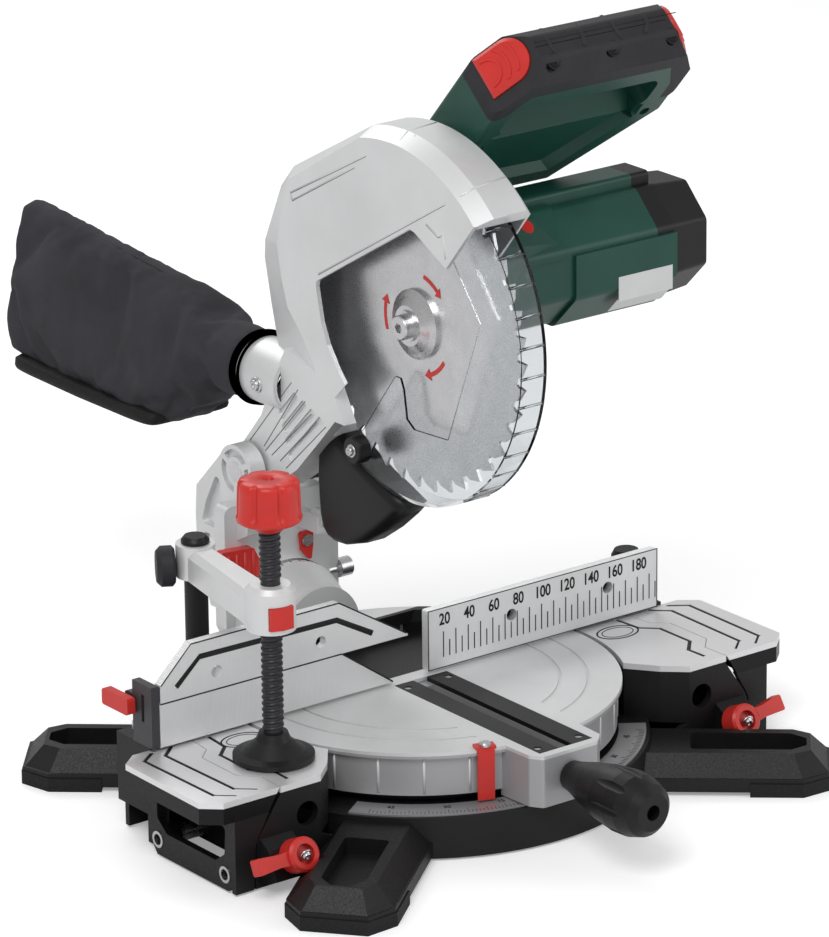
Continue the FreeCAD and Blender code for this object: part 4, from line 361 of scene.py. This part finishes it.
def sewnBag(s):
    bm = bagShell(s)
    mesh = bpy.data.meshes.new("dustBagCloth")
    bm.to_mesh(mesh)
    bm.free()
    bag = bpy.data.objects.new("dustBagCloth", mesh)
    bpy.context.scene.collection.objects.link(bag)
    bpy.context.view_layer.objects.active = bag
    remesh = bag.modifiers.new("remesh", "REMESH")
    remesh.mode = "VOXEL"
    remesh.voxel_size = s["voxel"]
    bpy.ops.object.modifier_apply(modifier="remesh")
    return bag


def heldAt(s, y, z):
    # 1 where the cloth can't move, 0 where it is free
    def fade(depth, over):
        return max(0.0, min(1.0, depth / over))

    weight = fade(s["neck"][0] - y, s["neck"][1])
    if y > s["bodyStart"]:
        height, slope, start, deep = s["base"]
        weight = max(weight, fade(height + slope * max(0, y - start) + deep - z, s["fade"]))
        height, slope, start, deep = s["seam"]
        weight = max(weight, s["seamHold"] * fade(z - (height + slope * (y - start)) + deep, s["fade"]))
    return weight


def slackCloth(bag, s):
    held = bag.vertex_groups.new(name="held")
    for vert in bag.data.vertices:
        held.add([vert.index], heldAt(s["held"], vert.co.y, vert.co.z), "REPLACE")
    before = [v.co.copy() for v in bag.data.vertices]
    cloth = bag.modifiers.new("cloth", "CLOTH")
    for name, value in s["cloth"].items():
        setattr(cloth.settings, name, value)
    cloth.settings.effector_weights.gravity = 0.0
    cloth.collision_settings.use_self_collision = False
    cloth.point_cache.frame_end = s["frames"]
    for step in range(1, s["frames"] + 1):
        bpy.context.scene.frame_set(step)
    graph = bpy.context.evaluated_depsgraph_get()
    moved = bag.evaluated_get(graph)
    after = [v.co.copy() for v in moved.to_mesh().vertices]
    moved.to_mesh_clear()
    bag.modifiers.remove(cloth)
    farthest = 0
    for vert, was, now in zip(bag.data.vertices, before, after):
        step = now - was
        farthest = max(farthest, step.length)
        if step.length > s["cap"]:
            step = step * (s["cap"] / step.length)
        vert.co = was + step
    print("bag moved up to", round(farthest * 1000, 1), "mm")
    bpy.context.scene.frame_set(1)


def clothBag(s):
    bag = sewnBag(s)
    slackCloth(bag, s)
    smooth = bag.modifiers.new("smooth", "SUBSURF")
    smooth.levels = smooth.render_levels = 1
    for face in bag.data.polygons:
        face.use_smooth = True
    bag.data.materials.clear()
    bag.data.materials.append(finish["bagCloth"])
    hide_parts("dust_bag")
    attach(bag, "saw_head")


def basePanel(s):
    bm = bmesh.new()
    middle = [sum(s[way]) / 2 for way in "xy"]
    half = [(s[way][1] - s[way][0]) / 2 for way in "xy"]
    rings = []
    for inset, z in s["rings"]:
        ring, turned = unitRing(bm, s["sides"])
        for vert, u, v in turned:
            u, v = (math.copysign(abs(w) ** s["squareness"], w) for w in (u, v))
            wide = half[0] - inset + s["bulge"] * (1 - v * v)
            vert.co = Vector((middle[0] + wide * u, middle[1] + (half[1] - inset) * v, z)) / 1000
        rings.append(edgesOf(ring))
    joinRings(bm, rings)
    newPiece("dustBagPanel", bm, finish["bagBlack"], "saw_head")


def cuffRings(s):
    bm = bmesh.new()
    for along, radius in s["rings"]:
        centre = Vector((s["middle"][0], along, s["middle"][1])) / 1000
        out = Matrix.Translation(centre + Vector((radius - s["inset"], 0, 0)) / 1000)
        turn = Matrix.Rotation(math.pi / 2, 4, "Z") @ Matrix.Rotation(math.pi / 2, 4, "Y")
        ring = bmesh.ops.create_circle(bm, segments=10, radius=s["bead"] / 1000, matrix=out @ turn)
        bmesh.ops.spin(bm, geom=ring["verts"] + edgesOf(ring), cent=centre, axis=(0, 1, 0), angle=2 * math.pi,
                       steps=64, use_merge=True)
    newPiece("dustBagCuff", bm, finish["rubber"], "saw_head")


clothBag(dustBag)
basePanel(bagPanel)
cuffRings(bagCuff)
bm = bmesh.new()
bead(bm, bagSeam, (-0.6, 0, 1), 1.0, 0.8)
newPiece("dustBagSeam", bm, finish["bagCloth"], "saw_head")
print("dust bag made")

# clamp: coarse black thread on the spindle, above and below the arm, and the lobed red knob
clampThread = {"axis": (-153.0, -45.0), "radius": 6.0, "pitch": 4.0, "spans": ((83.0, 149.0), (180.5, 213.5)),
               "bead": (1.15, 0.95), "stepsPerTurn": 16}
clampKnob = {"axis": (-153.0, -45.0), "sides": 112, "lobes": 7, "groove": 0.13, "grooveFrom": (16, 223),
             "profile": [(8.5, 213.8), (10, 217), (18.5, 219.4), (20.2, 220.6), (20.4, 222.5), (19.8, 224),
                         (19.6, 232), (19.3, 240), (18.9, 243.8), (17.9, 245.6), (16.6, 246.2), (12, 246.4),
                         (4, 246.4), (3.4, 245.6), (3.2, 242)]}


def threads(s):
    bm = bmesh.new()
    x, y = s["axis"]
    for low, high in s["spans"]:
        count = int((high - low) / s["pitch"] * s["stepsPerTurn"])
        turns = [2 * math.pi * k / s["stepsPerTurn"] for k in range(count + 1)]
        normals = [(math.cos(turn), math.sin(turn), 0) for turn in turns]
        points = [(x + s["radius"] * out[0], y + s["radius"] * out[1], low + (high - low) * k / count)
                  for k, out in enumerate(normals)]
        bead(bm, points, normals, *s["bead"], 6)
    newPiece("clampThread", bm, finish["darkSteel"], "clamp_screw")


def lobedKnob(s):
    bm = bmesh.new()
    x, y = s["axis"]
    rings = []
    for radius, z in s["profile"]:
        ring, turned = unitRing(bm, s["sides"])
        lobed = radius > s["grooveFrom"][0] and z > s["grooveFrom"][1]
        for vert, u, v in turned:
            groove = max(0.0, math.cos(math.atan2(v, u) * s["lobes"])) ** 3 if lobed else 0
            reach = radius * (1 - s["groove"] * groove)
            vert.co = Vector((x + reach * u, y + reach * v, z)) / 1000
        rings.append(edgesOf(ring))
    joinRings(bm, rings)
    piece = newPiece("lobedKnob", bm, finish["redPlastic"], "clamp_screw")
    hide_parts("clamp_knob")


threads(clampThread)
lobedKnob(clampKnob)
print("clamp made")

# right fence: printed ruler and dark backs in its two holes
ruler = {"marks": range(20, 196, 5), "low": 73.3, "long": 17.4, "short": 11.0, "wide": 0.75, "face": 7.93,
         "thick": 0.12,
         # middle x and z, width and height
         "lines": [(102.2, 106.6, 189, 0.6), (102.2, 66.4, 189, 0.6), (7.9, 86.5, 0.7, 41),
                   (196.6, 86.5, 0.7, 41)],
         "numbers": range(20, 181, 20), "numberHeight": 98.8, "numberSize": 11.0}
fenceHoles = {"places": [(75.4, 14.1, 89), (155, 14.1, 89)], "profile": [(5.5, 0), (5.5, 0.8), (5, 1)]}
bm = bmesh.new()
for x in ruler["marks"]:
    tall = ruler["long"] if x % 10 == 0 else ruler["short"]
    tick(bm, (x, ruler["face"], ruler["low"] + tall / 2), (ruler["wide"], ruler["thick"], tall))
for x, z, wide, tall in ruler["lines"]:
    tick(bm, (x, ruler["face"], z), (wide, ruler["thick"], tall))
newPiece("rulerMarks", bm, finish["ink"], "base", smooth=False)
bm = bmesh.new()
for place in fenceHoles["places"]:
    turnedPiece(bm, fenceHoles["profile"], place, (0, 1, 0))
newPiece("fenceHoleBacks", bm, finish["ink"], "base")
places = [facing((n + 1, ruler["face"], ruler["numberHeight"]), (1, 0, 0), (0, 0, 1)) for n in ruler["numbers"]]
lettering("rulerNumbers", [str(n) for n in ruler["numbers"]], ruler["numberSize"], places, finish["ink"],
          "base")

# left fences: black chevron and edge line on the sliding one, edge line on the fixed one
fenceLines = {"chevron": [(-188.0, 103.2), (-170.0, 119.2), (-64.3, 118.2), (-36.5, 102.9)],
              "edge": [(-199.6, 106.4), (-176.4, 129.0), (-62.5, 129.2), (-9.6, 96.6)],
              "lower": [(-200.2, 94.6), (-60.8, 94.6), (-20.8, 66.4)]}
bm = bmesh.new()
bead(bm, [(x, 8.0, z) for x, z in fenceLines["chevron"]], (0, -1, 0), 1.9, 0.25)
bead(bm, [(x, 8.0, z) for x, z in fenceLines["edge"]], (0, -1, 0), 0.5, 0.22)
newPiece("slidingFenceLines", bm, finish["ink"], "upper_fence")
bm = bmesh.new()
bead(bm, [(x, 7.95, z) for x, z in fenceLines["lower"]], (0, -1, 0), 0.5, 0.2)
newPiece("leftFenceLines", bm, finish["ink"], "base")

# side tables: black inlays in the grooves, as points and half width, and two bare oval rings on each
tableMarks = {
    "inlays": {
        "base": [
            ([(166, -76), (165.4, -62), (176, -50.5), (175.8, -20.4), (165.6, -10.6), (163.8, 9)], 1.3)],
        "extension": [
            ([(201.3, -69.8), (202.8, 0.1), (191.4, 10.3)], 1.3), ([(190.7, -79.2), (201.3, -69.8)], 0.8),
            ([(217.1, -70.6), (218.2, 0.7), (206.6, 9.1)], 1.3), ([(206.9, -79.7), (217.1, -70.6)], 0.8)]},
    "inlayHeight": 63.72, "ovalMiddle": (150, -8.5, 64.05),
    # half length, half width, half line width, height
    "ovals": [(15, 10.5, 0.6, 0.22), (11.5, 7.6, 0.35, 0.18)],
}
for side, word in ((1, "right"), (-1, "left")):
    for group, body in (("base", "base"), ("extension", word + "_extension")):
        bm = bmesh.new()
        for line, half in tableMarks["inlays"][group]:
            bead(bm, [(side * x, y, tableMarks["inlayHeight"]) for x, y in line], (0, 0, 1), half, 0.25)
        newPiece(word + group.capitalize() + "Inlay", bm, finish["ink"], body)
    bm = bmesh.new()
    x, y, z = tableMarks["ovalMiddle"]
    for long, wide, half, high in tableMarks["ovals"]:
        turns = [t * math.pi / 20 for t in range(41)]
        oval = [(side * x + long * math.cos(t), y + wide * math.sin(t), z) for t in turns]
        bead(bm, oval, (0, 0, 1), half, high)
    newPiece(word + "BadgeRing", bm, finish["ink"], "base")
print("fences and tables marked")

# head casting: raised ridge lines with a shadow beside them, and the fine lines on the arm
castLines = {
    "ridges": [
        [(-22, 107.8, 367.6), (-22, 67.5, 388.7), (-22, 28, 409.4), (-16.9, -2, 425.8),
         (-10.5, 0, 429.1), (15.2, 3.8, 429.5)],
        [(-22, 107.8, 367.6), (-22, 105.9, 363), (-22, 40.2, 399.2), (-10.9, -8.5, 428.4)],
        [(-22, 79.2, 320.6), (-22, 13.2, 358.9), (-22, -51.7, 396.3), (-19.8, -64.3, 403.6),
         (-10.2, -66.6, 408.2), (15.3, -64.5, 409.6)],
        [(-22, -33.4, 379.7), (-22, -45.6, 374.3), (-22, -49.5, 376.2), (-22, -52.4, 362.1)]],
    "normals": [[(-1, 0, 0)] * 3 + [(-0.5, 0, 0.87), (-0.3, 0, 0.95), (0, 0, 1)],
                [(-1, 0, 0)] * 3 + [(-0.5, 0, 0.87)],
                [(-1, 0, 0)] * 3 + [(-0.5, -0.5, 0.74), (-0.1, -0.54, 0.84), (0, -0.54, 0.84)],
                [(-1, 0, 0)] * 4],
    "arm": [((157.4, 188.9), (110.4, 240.5)), ((141.8, 189), (103.5, 237.4)), ((140.3, 186.4), (95.7, 231.5)),
            ((133.2, 185.3), (89.6, 224.4)), ((124.2, 183.7), (84, 220.9)), ((117.9, 180.4), (74, 220))],
    # how far the shadow lies inside, behind and below its ridge
    "shadow": (0.1, 0.2, 0.75),
}
bm = bmesh.new()
for line, normals in zip(castLines["ridges"], castLines["normals"]):
    bead(bm, line, normals, 0.55, 0.45)
newPiece("castRidges", bm, finish["silverPaint"], "saw_head")
bm = bmesh.new()
inside, behind, below = castLines["shadow"]
for line, normals in zip(castLines["ridges"], castLines["normals"]):
    shadow = [(x - inside * n[0], y + behind, z - below) for (x, y, z), n in zip(line, normals)]
    bead(bm, shadow, normals, 0.3, 0.32)
for (y0, z0), (y1, z1) in castLines["arm"]:
    bead(bm, [(-21.95, y0, z0), (-21.95, y1, z1)], (-1, 0, 0), 0.4, 0.25)
newPiece("castLines", bm, finish["shadowLine"], "saw_head")

# blade: three arrows that show which way it turns, each between two angles
arrows = {"spans": [(102, 138), (-145, -103), (-20, 22)], "middle": (-1.2, 4.2, 302), "radius": 33, "steps": 8,
          "half": 1.5, "headHalf": 4, "headDrop": 0.15}
bm = bmesh.new()
for first, last in arrows["spans"]:
    x, y, z = arrows["middle"]
    arc = [math.radians(first + (last - first) * k / arrows["steps"]) for k in range(arrows["steps"] + 1)]
    points = [(x, y + arrows["radius"] * math.cos(a), z + arrows["radius"] * math.sin(a)) for a in arc]
    bead(bm, points[:-2], (-1, 0, 0), arrows["half"], 0.15)
    tip, root = Vector(points[-1]), Vector(points[-3])
    out = Vector((0, math.cos(arc[-3]), math.sin(arc[-3]))) * arrows["headHalf"]
    drop = Vector((-arrows["headDrop"], 0, 0))
    head = [bm.verts.new(v / 1000) for v in (tip, root + out + drop, root - out + drop)]
    bmesh.ops.contextual_create(bm, geom=head)
newPiece("bladeArrows", bm, finish["redPlastic"], "blade", smooth=False)

# small screws with their drives: body, place, way out and size
screws = {
    "portScrew": ("saw_head", (-28.6, 140.3, 232.3), (-1, -0.1, 0), 3.6),
    "rollerScrew": ("blade_guard", (-22.1, 47.2, 211.0), (-1, 0, 0), 3.0),
    "rightLeverScrew": ("right_lever", (176.0, -108.6, 26.3), (0, -0.914, -0.407), 2.9),
    "leftLeverScrew": ("left_lever", (-176.0, -108.6, 26.3), (0, -0.914, -0.407), 2.9),
}
# radius as a share of the size, and height
screwProfile = [(1.45, -0.8), (1.45, 0.2), (1.3, 0.5), (1, 0.5), (1, 2), (0.86, 2.5), (0.45, 2.6), (0.42, 1.2)]
for name, (body, place, axis, size) in screws.items():
    bm = bmesh.new()
    turnedPiece(bm, [(size * share, along) for share, along in screwProfile], place, axis)
    newPiece(name, bm, finish["steel"], body)

# handle: screw holes, ribs and the seam on the grip, and the bare rating plate on the motor below
grip = {
    "holes": [(56.5, -61.6, 475.4), (103.5, -61.6, 475.4), (150.1, -61.6, 475.4)], "holeWay": (0, -0.94, 0.34),
    "holeProfile": [(5.2, -1.5), (5.2, -0.1), (4.8, 0.1), (4.5, -0.1), (4.2, -1.2)],
    "ribs": [[(66.1, -35.9, 488.3), (57.9, -51.1, 487.7), (58.1, -55.7, 483.5), (58.4, -60.2, 479.3)],
             [(87.1, -43.6, 489.1), (84.6, -51.1, 487.7), (84.1, -55.3, 483.9), (82.0, -59.8, 479.6)],
             [(115.2, -34.6, 488.2), (110.0, -50.5, 488.1), (110.6, -55.4, 483.9), (110.9, -60.0, 479.4)],
             [(140.4, -38.7, 488.9), (136.6, -51.0, 487.7), (135.0, -55.2, 484.0), (130.0, -59.9, 479.7)]],
    "ribNormals": [(0, 0.1, 1), (0, -0.5, 0.86), (0, -0.67, 0.74), (0, -0.8, 0.6)],
    "seam": [(48.0, -52.4, 486.6), (100.0, -52.4, 486.6), (160.0, -52.4, 486.6)],
}
# middle, size and tilt in degrees of the plate's two faces
ratingPlate = [((146.0, -41.1, 310.5), (44, 0.3, 16), 0), ((146.0, -34.6, 298.2), (44, 0.3, 14), 45)]
bm = bmesh.new()
for place in grip["holes"]:
    turnedPiece(bm, grip["holeProfile"], place, grip["holeWay"])
newPiece("gripHoles", bm, finish["ink"], "saw_head")
bm = bmesh.new()
for line in grip["ribs"]:
    bead(bm, line, grip["ribNormals"], 1.5, 0.8, 10)
newPiece("gripRibs", bm, finish["gripRubber"], "saw_head")
bm = bmesh.new()
bead(bm, grip["seam"], (0, -0.67, 0.74), 0.35, 0.25)
newPiece("gripSeam", bm, finish["ink"], "saw_head")
bm = bmesh.new()
for middle, size, tilt in ratingPlate:
    tick(bm, middle, size, Matrix.Rotation(math.radians(tilt), 4, "X"))
newPiece("ratingPlate", bm, finish["labelPlate"], "saw_head", smooth=False)
print("head marked")

# mitre scale: ticks every degree on the ring in front, figures every 15 degrees
mitreScale = {"middle": (0, 8), "outer": 143.6, "long": 5.5, "short": 3.2, "wide": 0.35, "thick": 0.12,
              "height": 29.28, "numbers": range(-45, 46, 15), "numberRadius": 133.2, "numberHeight": 29.25,
              "numberSize": 5.4}
bm = bmesh.new()
x, y = mitreScale["middle"]
for degree in range(-50, 51):
    a = math.radians(degree - 90)
    length = mitreScale["long"] if degree % 5 == 0 else mitreScale["short"]
    r = mitreScale["outer"] - length / 2
    tick(bm, (x + r * math.cos(a), y + r * math.sin(a), mitreScale["height"]),
         (length, mitreScale["wide"], mitreScale["thick"]), Matrix.Rotation(a, 4, "Z"))
newPiece("mitreTicks", bm, finish["ink"], "base", smooth=False)
places = []
for degree in mitreScale["numbers"]:
    u, v = math.cos(math.radians(degree)), math.sin(math.radians(degree))
    r = mitreScale["numberRadius"]
    places.append(facing((x + r * v, y - r * u, mitreScale["numberHeight"]), (u, v, 0), (-v, u, 0)))
lettering("mitreNumbers", [str(abs(degree)) for degree in mitreScale["numbers"]], mitreScale["numberSize"],
          places, finish["ink"], "base", 0.9)

# bevel scale: ticks every two degrees on the round of the trunnion
bevelScale = {"axis": (0, 64), "radius": 39.55, "front": 150.5, "long": 6.5, "short": 4.0, "wide": 0.3,
              "thick": 0.35}
bm = bmesh.new()
x, z = bevelScale["axis"]
for degree in range(-40, 51, 2):
    a = math.radians(degree + 90)
    length = bevelScale["long"] if degree % 10 == 0 else bevelScale["short"]
    place = (x + bevelScale["radius"] * math.cos(a), bevelScale["front"] - length / 2,
             z + bevelScale["radius"] * math.sin(a))
    tick(bm, place, (bevelScale["wide"], length, bevelScale["thick"]), Matrix.Rotation(math.pi / 2 - a, 4, "Y"))
newPiece("bevelTicks", bm, finish["ink"], "table", smooth=False)

# ribs on the turntable's wall, both sides of the grip arm, and ridges on the bevel lever
tableRibs = {"middle": (0, 8), "radius": 126.4, "heights": (36.0, 59.6),
             "angles": [*range(-165, -100, 13), *range(-76, -10, 13)]}
leverRidges = {"feet": (-49.5, -42.9, -36.3, -29.7), "face": 147.2, "heights": (91.0, 117.5), "lean": 1.5}
bm = bmesh.new()
x, y = tableRibs["middle"]
for degree in tableRibs["angles"]:
    out = (math.cos(math.radians(degree)), math.sin(math.radians(degree)), 0)
    r = tableRibs["radius"]
    bead(bm, [(x + r * out[0], y + r * out[1], z) for z in tableRibs["heights"]], out, 0.9, 0.7)
newPiece("tableRibs", bm, finish["silverPaint"], "table")
bm = bmesh.new()
low, high = leverRidges["heights"]
for x in leverRidges["feet"]:
    ridge = [(x, leverRidges["face"], low), (x + leverRidges["lean"], leverRidges["face"], high)]
    bead(bm, ridge, (0, -1, 0), 1.2, 0.9)
newPiece("bevelLeverRidges", bm, finish["redPlastic"], "bevel_lever")
print("scales made")

# deflector: a smooth black shield under the guard with a rolled left rim
# outline is y and z from the bevel axis above the turntable's middle
shield = {"x": (-12.0, 8.5), "origin": (8, 64), "roll": 7, "outline": [
    (92.6, 103), (91.5, 88.6), (88.7, 79.3), (83.4, 74.2), (75.6, 72.2), (65.2, 73), (46.1, 79.5), (25.9, 93.2),
    (9.1, 107.1), (-0.6, 116.4), (14.2, 122.5), (32.6, 129), (43.6, 134.5), (57.4, 140.2), (69.5, 147),
    (82.2, 143.4), (91.9, 131.8), (93.2, 115.2)]}


def smoothShield(s):
    bm = bmesh.new()
    left, right = s["x"]
    y0, z0 = s["origin"]
    loop = [bm.verts.new(Vector((right, y0 + y, z0 + z)) / 1000) for y, z in s["outline"]]
    face = bmesh.ops.contextual_create(bm, geom=loop)["faces"]
    grown = bmesh.ops.extrude_face_region(bm, geom=face)
    moved = [v for v in grown["geom"] if isinstance(v, bmesh.types.BMVert)]
    bmesh.ops.translate(bm, verts=moved, vec=((left - right) / 1000, 0, 0))
    bmesh.ops.recalc_face_normals(bm, faces=bm.faces)
    rim = [e for e in bm.edges if all(v in moved for v in e.verts)]
    bmesh.ops.bevel(bm, geom=rim, offset=s["roll"] / 1000, segments=4, profile=0.5, affect="EDGES", material=-1)
    piece = newPiece("smoothShield", bm, finish["blackPlastic"], "saw_head")
    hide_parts("deflector")


smoothShield(shield)
print("shield made")

# clear guard: raised blocks across its rim
guardRim = {"middle": (4.2, 302), "radius": 115.2, "half": 9.8, "first": -60, "apart": 9.5, "count": 15}
bm = bmesh.new()
y, z = guardRim["middle"]
for k in range(guardRim["count"]):
    a = math.radians(guardRim["first"] + guardRim["apart"] * k)
    out = (0, -math.cos(a), math.sin(a))
    ends = [(x, y + guardRim["radius"] * out[1], z + guardRim["radius"] * out[2])
            for x in (-guardRim["half"], guardRim["half"])]
    bead(bm, ends, out, 1.0, 0.9)
newPiece("guardRimRibs", bm, finish["clearGuard"], "blade_guard")
print("guard ribs made")

# camera, floor and light
studio = {
    "azimuth": -37.13726, "elevation": 19.15559, "roll": -0.62797, "lens": 225.379,
    "place": (-2.108248, -2.773594, 1.417498), "floor": 9.0, "floorColour": (0.86, 0.86, 0.865),
    "floorGlow": 0.28, "worldStrength": 0.5,
    # place, target, size and power
    "lamps": {"keyLamp": ((-1.6, -1.2, 2.4), (0, 0, 0.2), (1.4, 1.4), 42),
              "fillLamp": ((1.8, -1.8, 1.2), (0, 0, 0.25), (1.6, 1.6), 14),
              "backLamp": ((0.4, 2.0, 1.9), (0, 0, 0.3), (1.6, 1.0), 18)},
}


def addCamera(s):
    azimuth, elevation, roll = (math.radians(s[k]) for k in ("azimuth", "elevation", "roll"))
    back = Vector((math.sin(azimuth) * math.cos(elevation), -math.cos(azimuth) * math.cos(elevation),
                   math.sin(elevation)))
    right = Vector((math.cos(azimuth), math.sin(azimuth), 0))
    up = back.cross(right)
    side = right * math.cos(roll) + up * math.sin(roll)
    top = up * math.cos(roll) - right * math.sin(roll)
    data = bpy.data.cameras.new("camera")
    data.lens = s["lens"]
    data.sensor_width = 36
    data.clip_end = 50
    camera = bpy.data.objects.new("camera", data)
    bpy.context.scene.collection.objects.link(camera)
    camera.matrix_world = Matrix.Translation(s["place"]) @ Matrix((side, top, back)).transposed().to_4x4()
    bpy.context.scene.camera = camera


def addFloor(s):
    bm = bmesh.new()
    bmesh.ops.create_grid(bm, x_segments=1, y_segments=1, size=s["floor"])
    mesh = bpy.data.meshes.new("floor")
    bm.to_mesh(mesh)
    bm.free()
    floor = bpy.data.objects.new("floor", mesh)
    bpy.context.scene.collection.objects.link(floor)
    mat = bpy.data.materials.new("floorPaper")
    mat.use_nodes = True
    tree = mat.node_tree
    link = tree.links.new
    shader = tree.nodes["Principled BSDF"]
    shader.inputs["Base Color"].default_value = s["floorColour"] + (1,)
    shader.inputs["Roughness"].default_value = 0.9
    glow = addNode(tree, "ShaderNodeEmission", (0, -300), Strength=s["floorGlow"])
    path = addNode(tree, "ShaderNodeLightPath", (-300, 300))
    both = addNode(tree, "ShaderNodeAddShader", (200, -100))
    choose = addNode(tree, "ShaderNodeMixShader", (400, 0))
    link(shader.outputs[0], both.inputs[0])
    link(glow.outputs[0], both.inputs[1])
    link(path.outputs["Is Camera Ray"], choose.inputs["Fac"])
    link(shader.outputs[0], choose.inputs[1])
    link(both.outputs[0], choose.inputs[2])
    link(choose.outputs[0], tree.nodes["Material Output"].inputs["Surface"])
    mesh.materials.append(mat)


def addWorld(s):
    world = bpy.data.worlds.new("studio")
    bpy.context.scene.world = world
    world.use_nodes = True
    back = world.node_tree.nodes["Background"]
    back.inputs["Color"].default_value = (1, 1, 1, 1)
    back.inputs["Strength"].default_value = s["worldStrength"]


def addLamp(name, place, target, size, power):
    data = bpy.data.lights.new(name, "AREA")
    data.shape = "RECTANGLE"
    data.size, data.size_y = size
    data.energy = power
    lamp = bpy.data.objects.new(name, data)
    lamp.location = place
    lamp.rotation_euler = (Vector(target) - Vector(place)).to_track_quat("-Z", "Y").to_euler()
    bpy.context.scene.collection.objects.link(lamp)


addCamera(studio)
addFloor(studio)
addWorld(studio)
for name, lamp in studio["lamps"].items():
    addLamp(name, *lamp)
bpy.context.scene.view_settings.view_transform = "Standard"
print("studio ready")
